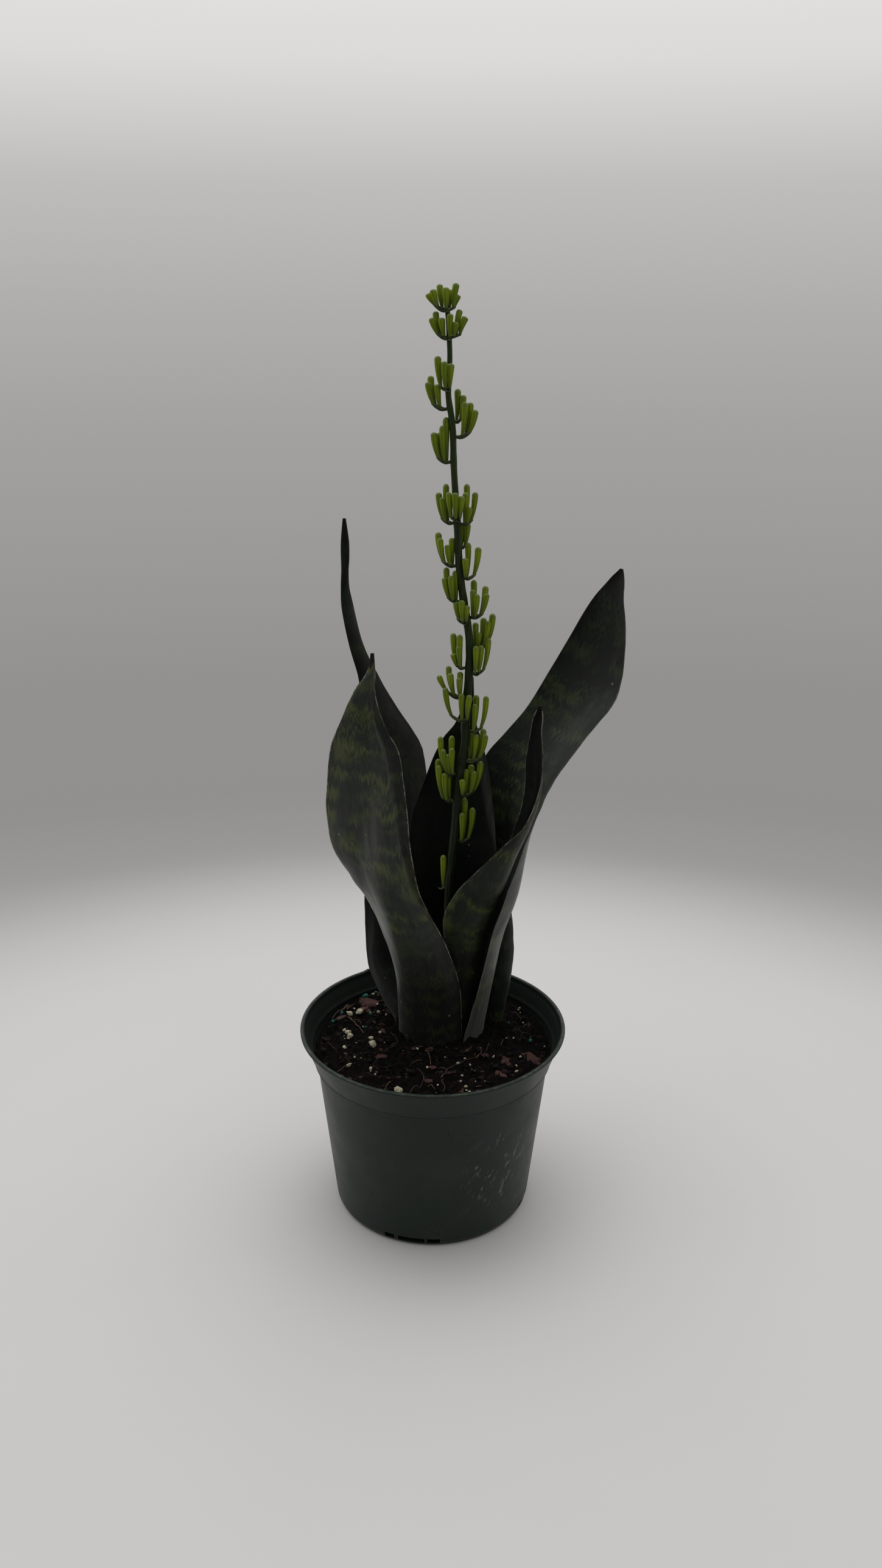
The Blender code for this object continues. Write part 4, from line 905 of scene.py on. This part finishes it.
def leaf_section(station, along, seed):
    """Outer and inner points across one station, with each one's place on the blade."""
    middle, chord, bow, half_width, depth, pleat = station
    side = 1.0 if depth >= 0 else -1.0
    depth = max(abs(depth), 0.15 * MM)
    radius = (half_width**2 + depth**2) / (2 * depth)
    half_angle = 2 * math.atan2(depth, half_width)
    thick_middle = min(LEAF_MIDDLE_THICKNESS, LEAF_EDGE_THICKNESS + 0.12 * half_width)
    outer, inner, places = [], [], []
    centre = middle - side * bow * (radius - depth)
    for i in range(LEAF_STEPS_ACROSS + 1):
        share = math.sin(math.pi / 2 * (2 * i / LEAF_STEPS_ACROSS - 1))
        normal = chord * math.sin(share * half_angle) + side * bow * math.cos(share * half_angle)
        fold = pleat_shape(share, pleat_ridge((middle.z - PLANT_FOOT) / MM))
        ripple = noise.noise(Vector((share * 1.5, along / (17 * MM), seed)))
        frill = noise.noise(Vector((share * 3.0, along / (6 * MM), seed + 7.0)))
        wave = share**6 * (0.7 * ripple + 0.35 * frill) * MM * min(1.0, half_width / (8 * MM))
        keel = 0.35 * MM * math.exp(-((share / 0.05) ** 2)) * min(1.0, half_width / (12 * MM))
        thickness = LEAF_EDGE_THICKNESS * 0.8 + (thick_middle - LEAF_EDGE_THICKNESS) * (1 - share**2)
        surface = centre + normal * (radius + pleat * fold + wave)
        outer.append(surface + normal * (thickness / 2 + keel * 0.4))
        inner.append(surface - normal * (thickness / 2 + keel * 0.2))
        offset = share * half_angle * radius
        places.append((offset, (1.0 - abs(share)) * half_angle * radius))
    return outer, inner, places


def build_leaf(name, rows, seed):
    stations = leaf_stations(rows)
    points = []
    offset, along, edge, inward = [], [], [], []
    length = 0.0
    width = LEAF_STEPS_ACROSS + 1
    rings = []
    for i, station in enumerate(stations):
        if i:
            length += (station[0] - stations[i - 1][0]).length
        outer, inner, places = leaf_section(station, length, seed)
        rings.append(len(points))
        points.extend(outer + inner[::-1])
        for here, is_inner in [(p, 0.0) for p in places] + [(p, 1.0) for p in places[::-1]]:
            offset.append(here[0])
            along.append(length)
            edge.append(here[1])
            inward.append(is_inner)
    faces = rings_to_faces(rings, 2 * width)
    for ring in (rings[0], rings[-1]):
        for i in range(width - 1):
            faces.append((ring + i, ring + i + 1, ring + 2 * width - 2 - i, ring + 2 * width - 1 - i))
    places = {"offset": offset, "along": along, "edge": edge, "inward": inward}
    mesh = mesh_from(name + "_blade", points, faces, 60, **places)
    face_outward(mesh)
    material = leaf_look(name, seed, length)
    new_piece(name + "_blade", mesh, material, [name])


def leaf_look(name, seed, length):
    bands, wax_film_and_painted_sheen, dry, outside, inside, pale, painted_top_shade, high_from, painted_foot_shade = LEAF_LOOKS[name][:9]
    specular, sheen = LEAF_LOOKS[name][9:]
    look = Look(name + "_skin")
    offset, along, edge, inward = (look.attribute(key) for key in ("offset", "along", "edge", "inward"))

    def on_blade(across, up, shift, ahead=along):
        return look.vector(look.times(offset, across), look.times(ahead, up), shift)

    def swayed(field, reach):
        return look.times(look.minus(field, 0.5), reach)

    # Fibres run up the leaf, and shift the ragged, zigzag cross bands up and down.
    fibre = look.noise(on_blade(900.0, 40.0, seed), 1.0, 3.0, 0.7)
    zigzag = look.noise(look.vector(look.times(offset, 150.0), 0.0, seed + 9.0), 1.0, 1.0)
    shifted = look.plus(look.plus(along, swayed(fibre, 0.026)), swayed(zigzag, 0.007))
    side_shift = look.plus(look.times(inward, 3.7), seed + 0.31)
    band = look.remap(look.noise(on_blade(16.0, 175.0, side_shift, shifted), 1.0, 2.0, 0.6), 0.47, 0.60)
    patch = look.remap(look.noise(on_blade(90.0, 40.0, seed + 5.0), 1.0, 3.0), 0.32, 0.58)
    band = look.times(band, patch, bands)
    tone = look.remap(look.noise(on_blade(26.0, 12.0, seed + 2.0), 1.0, 3.0), 0.3, 0.7)
    outer = look.mix(tone, (0.0080, 0.0120, 0.0092), (0.0165, 0.0210, 0.0155))
    inner = look.mix(tone, (0.0058, 0.0088, 0.0070), (0.0098, 0.0135, 0.0100))
    # Painted shade: each leaf is darker above a height along the blade and at its foot, and its tones outside
    # and inside also paint in light and shade.
    high = look.remap(along, high_from - 0.03, high_from + 0.03, 1.0, painted_top_shade)
    painted_shade = look.times(high, look.remap(along, 0.040, 0.120, painted_foot_shade, 1.0))
    if name == "leaf_front_left":
        # The strip behind the pleat's ridge lies in its shade, and is darker.
        strip = look.times(look.remap(edge, 0.0040, 0.0075, 0.6, 0.0), look.math("GREATER_THAN", offset, 0.0))
        strip = look.times(strip, look.remap(along, 0.10, 0.14), look.remap(along, 0.235, 0.265, 1.0, 0.0))
        painted_shade = look.times(painted_shade, look.minus(1.0, strip))
    level = look.times(look.plus(look.times(inward, inside - outside), outside), painted_shade)
    olive = look.mix(inward, (0.092, 0.112, 0.024), (0.060, 0.078, 0.022))
    colour = look.paint(look.mix(inward, outer, inner), olive, band, 0.9)
    colour = look.mix(look.remap(fibre, 0.40, 0.78, 0.0, 0.20), colour, (0.030, 0.038, 0.020))
    colour = look.scaled_by(colour, look.times(level, 0.75))
    # A grey, waxy film on the outside, thin in streaks, which also serves as a painted sheen.
    streaks = look.noise(on_blade(260.0, 18.0, seed + 4.0), 1.0, 3.0, 0.6)
    streaks = look.remap(streaks, 0.25, 0.75, 0.35, 1.0)
    wax_and_painted_sheen = look.times(look.minus(1.0, inward), wax_film_and_painted_sheen)
    colour = look.paint(colour, (0.110, 0.114, 0.104), wax_and_painted_sheen, streaks, painted_shade)
    # A painted highlight: a pale grey streak along the fold.
    if name in LEAF_PAINTED_HIGHLIGHTS:
        across, up, drift, half, start, end, strength = LEAF_PAINTED_HIGHLIGHTS[name]
        line = look.plus(look.times(look.minus(along, up), drift), across)
        painted_highlight = look.remap(look.math("ABSOLUTE", look.minus(offset, line)), 0.0, half, 1.0, 0.0)
        risen = start + 0.030
        growing, waning = look.remap(along, start, risen), look.remap(along, risen, end, strength, 0.0)
        colour = look.paint(colour, (0.340, 0.345, 0.325), painted_highlight, growing, waning, streaks)
    # Pale, slightly ragged margins.
    ragged = look.noise(look.vector(0.0, look.times(along, 420.0), seed), 1.0, 3.0, 0.7)
    reach = look.times(look.remap(ragged, 0.3, 0.7, 0.25, 1.0), 0.0004 + 0.0003 * pale)
    aged = look.noise(look.vector(0.0, look.times(along, 110.0), seed + 3.0), 1.0, 3.0)
    margin = look.mix(look.remap(aged, 0.38, 0.58), (0.085, 0.040, 0.026), (0.34, 0.33, 0.27))
    colour = look.paint(colour, margin, look.math("LESS_THAN", edge, reach), 0.85 * pale)
    # Small pale scars, and a dry brown tip.
    scar_point = on_blade(150.0, 110.0, seed + 8.0)
    scars = look.remap(look.cells(scar_point, 1.0), 0.04, 0.12, 1.0, 0.0)
    rare = look.remap(look.noise(look.scaled(scar_point, (0.35, 0.35, 0.35)), 1.0, 1.0), 0.60, 0.66)
    colour = look.paint(colour, (0.23, 0.23, 0.19), scars, rare, 0.8)
    ending = look.plus(along, swayed(fibre, 0.02))
    tip = look.remap(ending, length * (1.0 - dry), length * (1.0 - dry * 0.55))
    colour = look.mix(tip, colour, (0.010, 0.007, 0.005))
    roughness = look.remap(look.noise(on_blade(130.0, 60.0, seed + 5.0), 1.0, 3.0), 0.3, 0.7, 0.36, 0.52)
    ribs = look.bump(look.noise(on_blade(1500.0, 22.0, seed), 1.0, 2.0), 0.30, 0.00025)
    normal = look.bump(look.noise(look.point, 220.0, 3.0), 0.25, 0.0008, ribs)
    gloss = {"Specular_IOR_Level": specular, "Sheen_Weight": sheen, "Sheen_Roughness": 0.4}
    return look.finish(colour, roughness, normal, **gloss)


# --- Flower stalk and buds -------------------------------------------------------------------------------


def stalk_line():
    out = []
    top = STALK_ROWS[-1][1]
    for x, height in through_rows(STALK_ROWS, 8):
        share = min(max(height / top, 0.0), 1.0)
        radius = STALK_FOOT_RADIUS + (STALK_TOP_RADIUS - STALK_FOOT_RADIUS) * share**2.3
        out.append((Vector((x * MM, STALK_Y, PLANT_FOOT + height * MM)), radius))
    return out


def stalk_at(line, height):
    z = PLANT_FOOT + height * MM
    for (low, low_radius), (high, high_radius) in zip(line, line[1:]):
        if z <= high.z:
            share = (z - low.z) / (high.z - low.z)
            return low.lerp(high, share), low_radius + (high_radius - low_radius) * share
    return line[-1]


def stalk_look():
    look = Look("stalk_skin", ior=1.45)
    z = look.parts(look.point)[2]
    # Painted shade: the lower stem is darker, as the shade it stands in among the leaves.
    up = look.remap(z, 0.20, 0.50)
    colour = look.mix(up, (0.0050, 0.0090, 0.0042), (0.0220, 0.0400, 0.0075))
    streak = look.noise(look.scaled(look.point, (1.0, 1.0, 0.06)), 1500.0, 3.0)
    colour = look.mix(look.remap(streak, 0.42, 0.72, 0.0, 0.45), colour, (0.045, 0.060, 0.018))
    fleck = look.remap(look.noise(look.point, 520.0, 2.0), 0.62, 0.72, 0.0, 0.6)
    colour = look.mix(fleck, colour, (0.006, 0.009, 0.004))
    return look.finish(colour, 0.45, look.bump(streak, 0.35, 0.0003), Specular_IOR_Level=0.27)


def bud_look():
    look = Look("bud_skin", ior=1.42)
    rise = look.attribute("rise")
    colour = look.mix(look.remap(rise, 0.05, 0.75), (0.125, 0.165, 0.024), (0.232, 0.300, 0.013))
    tone = look.remap(look.attribute("tone"), 0.0, 1.0, 0.0, 0.55)
    colour = look.mix(tone, colour, (0.115, 0.175, 0.010))
    seam = look.remap(look.attribute("lobe"), -1.0, 0.1, 0.50, 0.0)
    colour = look.paint(colour, (0.040, 0.066, 0.005), seam, look.remap(rise, 0.0, 0.35, 0.25, 1.0))
    colour = look.paint(colour, (0.085, 0.115, 0.035), look.remap(rise, 0.82, 0.97), 0.6)
    spot = look.noise(look.point, 900.0, 3.0)
    colour = look.mix(look.remap(spot, 0.6, 0.75, 0.0, 0.25), colour, (0.080, 0.110, 0.022))
    lines = look.noise(look.scaled(look.point, (1.0, 1.0, 0.2)), 1600.0, 2.0)
    return look.finish(colour, 0.42, look.bump(lines, 0.25, 0.0002), Specular_IOR_Level=0.20)


def bracket_look():
    look = Look("bracket_skin", ior=1.42)
    spot = look.noise(look.point, 600.0, 3.0)
    colour = look.mix(look.remap(spot, 0.35, 0.7), (0.022, 0.036, 0.012), (0.075, 0.100, 0.030))
    pale = look.remap(look.attribute("rise"), 0.6, 1.0)
    colour = look.paint(colour, (0.13, 0.14, 0.085), pale, 0.6)
    return look.finish(colour, 0.5, look.bump(spot, 0.3, 0.0003), Specular_IOR_Level=0.3)


def add_bud(made, start, tip, lean, tone, size):
    """One closed bud: a blunt, slightly clubbed tube with six shallow seams."""
    points, faces, rise, lobe, tones = made
    span = (tip - start).length
    control = start + lean * span * 0.4
    first = len(points)
    side = None
    for t, width in BUD_OUTLINE:
        place = start * (1 - t) ** 2 + control * 2 * t * (1 - t) + tip * t * t
        along = ((control - start) * (1 - t) + (tip - control) * t).normalized()
        if side is None:
            side = along.orthogonal().normalized()
        side = (side - along * side.dot(along)).normalized()
        other = along.cross(side)
        for k in range(BUD_SIDES):
            angle = math.tau * k / BUD_SIDES
            ridge = 1.0 if k % 2 == 0 else -1.0
            depth = 0.05 * math.sin(math.pi * min(1.0, t * 1.05)) + (0.10 if 0.9 < t < 1.0 else 0.0)
            radius = BUD_RADIUS * size * width * (1.0 + depth * ridge)
            points.append(place + (side * math.cos(angle) + other * math.sin(angle)) * radius)
            rise.append(t)
            lobe.append(ridge)
            tones.append(tone)
    rings = [first + i * BUD_SIDES for i in range(len(BUD_OUTLINE))]
    faces.extend(rings_to_faces(rings, BUD_SIDES))
    faces.append(tuple(range(rings[0], rings[0] + BUD_SIDES))[::-1])
    faces.append(tuple(range(rings[-1], rings[-1] + BUD_SIDES)))


def add_scale(made, base, outward):
    """A papery scale under a bracket."""
    points, faces, rise = made
    across = outward.cross(-DOWN)
    first = len(points)
    for row, (out, drop, half) in enumerate(SCALE_ROWS):
        middle = base + (outward * out + DOWN * drop) * MM
        for lift, shift in ((0.0, -1.0), (0.0, 1.0), (SCALE_THICKNESS, 1.0), (SCALE_THICKNESS, -1.0)):
            points.append(middle + (across * shift * half - DOWN * lift) * MM)
            rise.append(0.65 + 0.35 * row / 3)
    faces.extend(rings_to_faces([first + 4 * row for row in range(4)], 4))
    faces.append((first + 3, first + 2, first + 1, first))
    faces.append(tuple(range(first + 12, first + 16)))


def add_cluster(line, cluster, rng, buds, brackets):
    """One cluster: its buds, the bracket and short stalks that carry them, and the scale below."""
    height, side, tips = cluster
    points, faces, rise = brackets
    centre, radius = stalk_at(line, height)
    turn = math.radians(side)
    outward = Vector((math.cos(turn), math.sin(turn), 0.0))
    seat = centre + outward * (radius + 0.95 * MM)
    starts = []
    for tip in tips:
        base = (centre + Vector((tip[0], tip[1], 0.0)) * MM - seat) * 0.66
        lift = min(4.5 * MM, 0.042 * (base.length / MM) ** 2 * MM, 0.3 * tip[2] * MM)
        starts.append(seat + base - DOWN * (lift + 0.2 * MM))
    # A curved green bracket carries the buds, and hooks up at its far end.
    far = max(range(len(tips)), key=lambda i: (starts[i] - seat).length)
    end = starts[far]
    heading = end - seat
    heading.z = 0.0
    heading = heading.normalized() if heading.length > 1e-6 else outward
    root = centre + outward * radius * 0.4 + DOWN * 0.3 * MM
    low = seat.lerp(end, 0.45)
    low.z = seat.z
    hook = end + heading * 1.3 * MM - DOWN * 0.6 * MM
    rows = (root, seat + DOWN * MM, low + DOWN * 0.9 * MM, end + DOWN * 0.5 * MM, hook)
    path = [Vector(place) for place in through_rows([tuple(row) for row in rows], 4)]
    last = len(path) - 1
    radii = []
    for i in range(last + 1):
        share = i / last
        taper = 0.50 * max(0.0, share - 0.65) / 0.35
        radii.append((0.80 + 0.15 * math.sin(math.pi * share) - taper) * MM)
    tube(points, faces, path, radii, 10, rise, lambda i, k: i / last)
    for i, (start, tip) in enumerate(zip(starts, tips)):
        top = centre + Vector(tip) * MM
        straight = (top - start).normalized()
        lean = (straight + heading * 0.18 * (start - seat).length / (4 * MM)).normalized()
        if i != far:
            join = [seat + DOWN * 0.9 * MM, seat.lerp(start, 0.5) + DOWN * 0.8 * MM]
            join += [start + DOWN * 0.5 * MM, start + straight * 0.6 * MM]
            thick = [0.7 * MM, 0.75 * MM, 0.75 * MM, 0.7 * MM]
            tube(points, faces, join, thick, 8, rise, lambda i, k: 0.2)
        add_bud(buds, start - straight * 0.3 * MM, top, lean, rng.random(), rng.uniform(0.94, 1.05))
    add_scale(brackets, seat + DOWN * 1.5 * MM, outward)
    return centre.z


def build_stem(line, knots):
    """The stem, faintly ribbed, and swollen at the height of each cluster."""
    points, rings = [], []
    for i, (place, radius) in enumerate(line):
        along = (line[min(i + 1, len(line) - 1)][0] - line[max(i - 1, 0)][0]).normalized()
        side = Vector((1.0, 0.0, 0.0))
        side = (side - along * side.dot(along)).normalized()
        other = along.cross(side)
        swell = max(math.exp(-(((place.z - z) / (3.0 * MM)) ** 2)) for z in knots)
        rings.append(len(points))
        for k in range(STALK_SIDES):
            angle = math.tau * k / STALK_SIDES
            rib = 1.0 + 0.035 * math.cos(5 * angle + place.z * 40.0) + 0.10 * swell
            points.append(place + (side * math.cos(angle) + other * math.sin(angle)) * radius * rib)
    faces = rings_to_faces(rings, STALK_SIDES)
    faces.append(tuple(range(STALK_SIDES))[::-1])
    faces.append(tuple(range(rings[-1], rings[-1] + STALK_SIDES)))
    mesh = mesh_from("flower_stem", points, faces, 60)
    new_piece("flower_stem", mesh, stalk_look(), ["flower_stalk"])


def build_flowers():
    line = stalk_line()
    rng = random.Random(3)
    buds = ([], [], [], [], [])
    brackets = ([], [], [])
    knots = [add_cluster(line, cluster, rng, buds, brackets) for cluster in CLUSTERS]
    points, faces, rise, lobe, tones = buds
    names = ["flower_cluster_%02d" % number for number in range(1, len(CLUSTERS) + 1)]
    mesh = mesh_from("flower_buds", points, faces, 80, rise=rise, lobe=lobe, tone=tones)
    new_piece("flower_buds", mesh, bud_look(), names)
    points, faces, rise = brackets
    mesh = mesh_from("flower_brackets", points, faces, 60, rise=rise)
    face_outward(mesh)
    new_piece("flower_brackets", mesh, bracket_look())
    build_stem(line, knots)


# --- Stage, light and camera -----------------------------------------------------------------------------


def build_stage():
    points = [(0.0, 0.0, 0.0)]
    for i in range(FLOOR_SIDES):
        angle = math.tau * i / FLOOR_SIDES
        points.append((FLOOR_RADIUS * math.cos(angle), FLOOR_RADIUS * math.sin(angle), 0.0))
    faces = [(0, 1 + i, 1 + (i + 1) % FLOOR_SIDES) for i in range(FLOOR_SIDES)]
    mesh = mesh_from("studio_floor", points, faces)
    floor = bpy.data.objects.new("studio_floor", mesh)
    bpy.context.scene.collection.objects.link(floor)
    look = Look("studio_floor", roughness=0.65)
    faint = look.noise(look.point, 6.0, 3.0)
    colour = look.mix(faint, (0.585, 0.574, 0.562), (0.610, 0.600, 0.588))
    material = look.finish(colour, 0.65, None, Specular_IOR_Level=0.2)
    # The floor fades into the backdrop far behind the plant.
    tree = material.node_tree
    clear = tree.nodes.new("ShaderNodeBsdfTransparent")
    blend = tree.nodes.new("ShaderNodeMixShader")
    fade = look.remap(look.distance((0.0, 0.0, 0.0)), FLOOR_FADES_FROM, FLOOR_GONE_AT)
    tree.links.new(fade, blend.inputs[0])
    tree.links.new(look.shader.outputs[0], blend.inputs[1])
    tree.links.new(clear.outputs[0], blend.inputs[2])
    tree.links.new(blend.outputs[0], tree.nodes["Material Output"].inputs["Surface"])
    mesh.materials.append(material)


def ramp(tree, value, stops):
    node = tree.nodes.new("ShaderNodeValToRGB")
    node.color_ramp.interpolation = "LINEAR"
    elements = node.color_ramp.elements
    while len(elements) < len(stops):
        elements.new(0.5)
    for element, (place, level) in zip(elements, stops):
        element.position = place
        element.color = (level, level, level, 1.0)
    tree.links.new(value, node.inputs[0])
    return node.outputs[0]


def build_light():
    """A pale surround, brighter overhead and dimmer in front, seen as a plain grey backdrop."""
    world = bpy.data.worlds.new("studio")
    bpy.context.scene.world = world
    world.use_nodes = True
    tree = world.node_tree
    tree.nodes.clear()
    out = tree.nodes.new("ShaderNodeOutputWorld")
    where = tree.nodes.new("ShaderNodeTexCoord")
    parts = tree.nodes.new("ShaderNodeSeparateXYZ")
    tree.links.new(where.outputs["Generated"], parts.inputs[0])

    def math_node(operation, first, second=0.0):
        node = tree.nodes.new("ShaderNodeMath")
        node.operation = operation
        for socket, value in zip(node.inputs, (first, second)):
            if isinstance(value, bpy.types.NodeSocket):
                tree.links.new(value, socket)
            else:
                socket.default_value = value
        return node.outputs[0]

    x, y, z = parts.outputs
    rise = math_node("MULTIPLY_ADD", z, 0.5)
    rise.node.inputs[2].default_value = 0.5
    seen = ramp(tree, rise, BACKDROP_SEEN)
    lights = ramp(tree, rise, SURROUND_LIGHT)
    aside = math_node("MULTIPLY", math_node("ABSOLUTE", x), 0.38)
    back = math_node("MULTIPLY_ADD", y, 0.42)
    back.node.inputs[2].default_value = 0.66
    factor = math_node("ADD", aside, back)
    scale = tree.nodes.new("ShaderNodeVectorMath")
    scale.operation = "SCALE"
    tree.links.new(lights, scale.inputs[0])
    tree.links.new(factor, scale.inputs["Scale"])
    background_seen = tree.nodes.new("ShaderNodeBackground")
    background_light = tree.nodes.new("ShaderNodeBackground")
    warm = tree.nodes.new("ShaderNodeVectorMath")
    warm.operation = "MULTIPLY"
    warm.inputs[1].default_value = (1.02, 1.0, 0.98)
    tree.links.new(seen, warm.inputs[0])
    tree.links.new(warm.outputs[0], background_seen.inputs[0])
    tree.links.new(scale.outputs[0], background_light.inputs[0])
    path = tree.nodes.new("ShaderNodeLightPath")
    blend = tree.nodes.new("ShaderNodeMixShader")
    tree.links.new(path.outputs["Is Camera Ray"], blend.inputs[0])
    tree.links.new(background_light.outputs[0], blend.inputs[1])
    tree.links.new(background_seen.outputs[0], blend.inputs[2])
    tree.links.new(blend.outputs[0], out.inputs[0])
    lamp = bpy.data.lights.new("overhead_softbox", "AREA")
    lamp.shape = "RECTANGLE"
    lamp.size, lamp.size_y = SOFTBOX_SIZE
    lamp.energy = SOFTBOX_WATTS
    softbox = bpy.data.objects.new("overhead_softbox", lamp)
    bpy.context.scene.collection.objects.link(softbox)
    softbox.location = SOFTBOX_PLACE
    aim = Vector(SOFTBOX_AIM) - softbox.location
    softbox.rotation_euler = aim.to_track_quat("-Z", "Y").to_euler()


def build_camera():
    pitch, yaw, roll = CAMERA_TURNS
    data = bpy.data.cameras.new("camera")
    data.sensor_width = 36.0
    data.lens = CAMERA_LENS
    data.clip_start, data.clip_end = 0.01, 50.0
    camera = bpy.data.objects.new("camera", data)
    bpy.context.scene.collection.objects.link(camera)
    ahead = Vector((math.sin(yaw) * math.cos(pitch), math.cos(yaw) * math.cos(pitch), -math.sin(pitch)))
    right = Vector((math.cos(yaw), -math.sin(yaw), 0.0))
    up = right.cross(ahead)
    right, up = right * math.cos(roll) + up * math.sin(roll), up * math.cos(roll) - right * math.sin(roll)
    turn = Matrix((right, up, -ahead)).transposed()
    camera.matrix_world = Matrix.Translation(CAMERA_PLACE) @ turn.to_4x4()
    bpy.context.scene.camera = camera


def main():
    build_camera()
    build_stage()
    build_light()
    build_pot()
    build_mix()
    build_loose_pieces()
    build_roots()
    for seed, (name, rows) in enumerate(LEAVES.items(), 1):
        build_leaf(name, rows, 3.7 * seed)
    build_flowers()
    bpy.context.scene.view_settings.view_transform = "Standard"
    bpy.context.view_layer.update()


main()
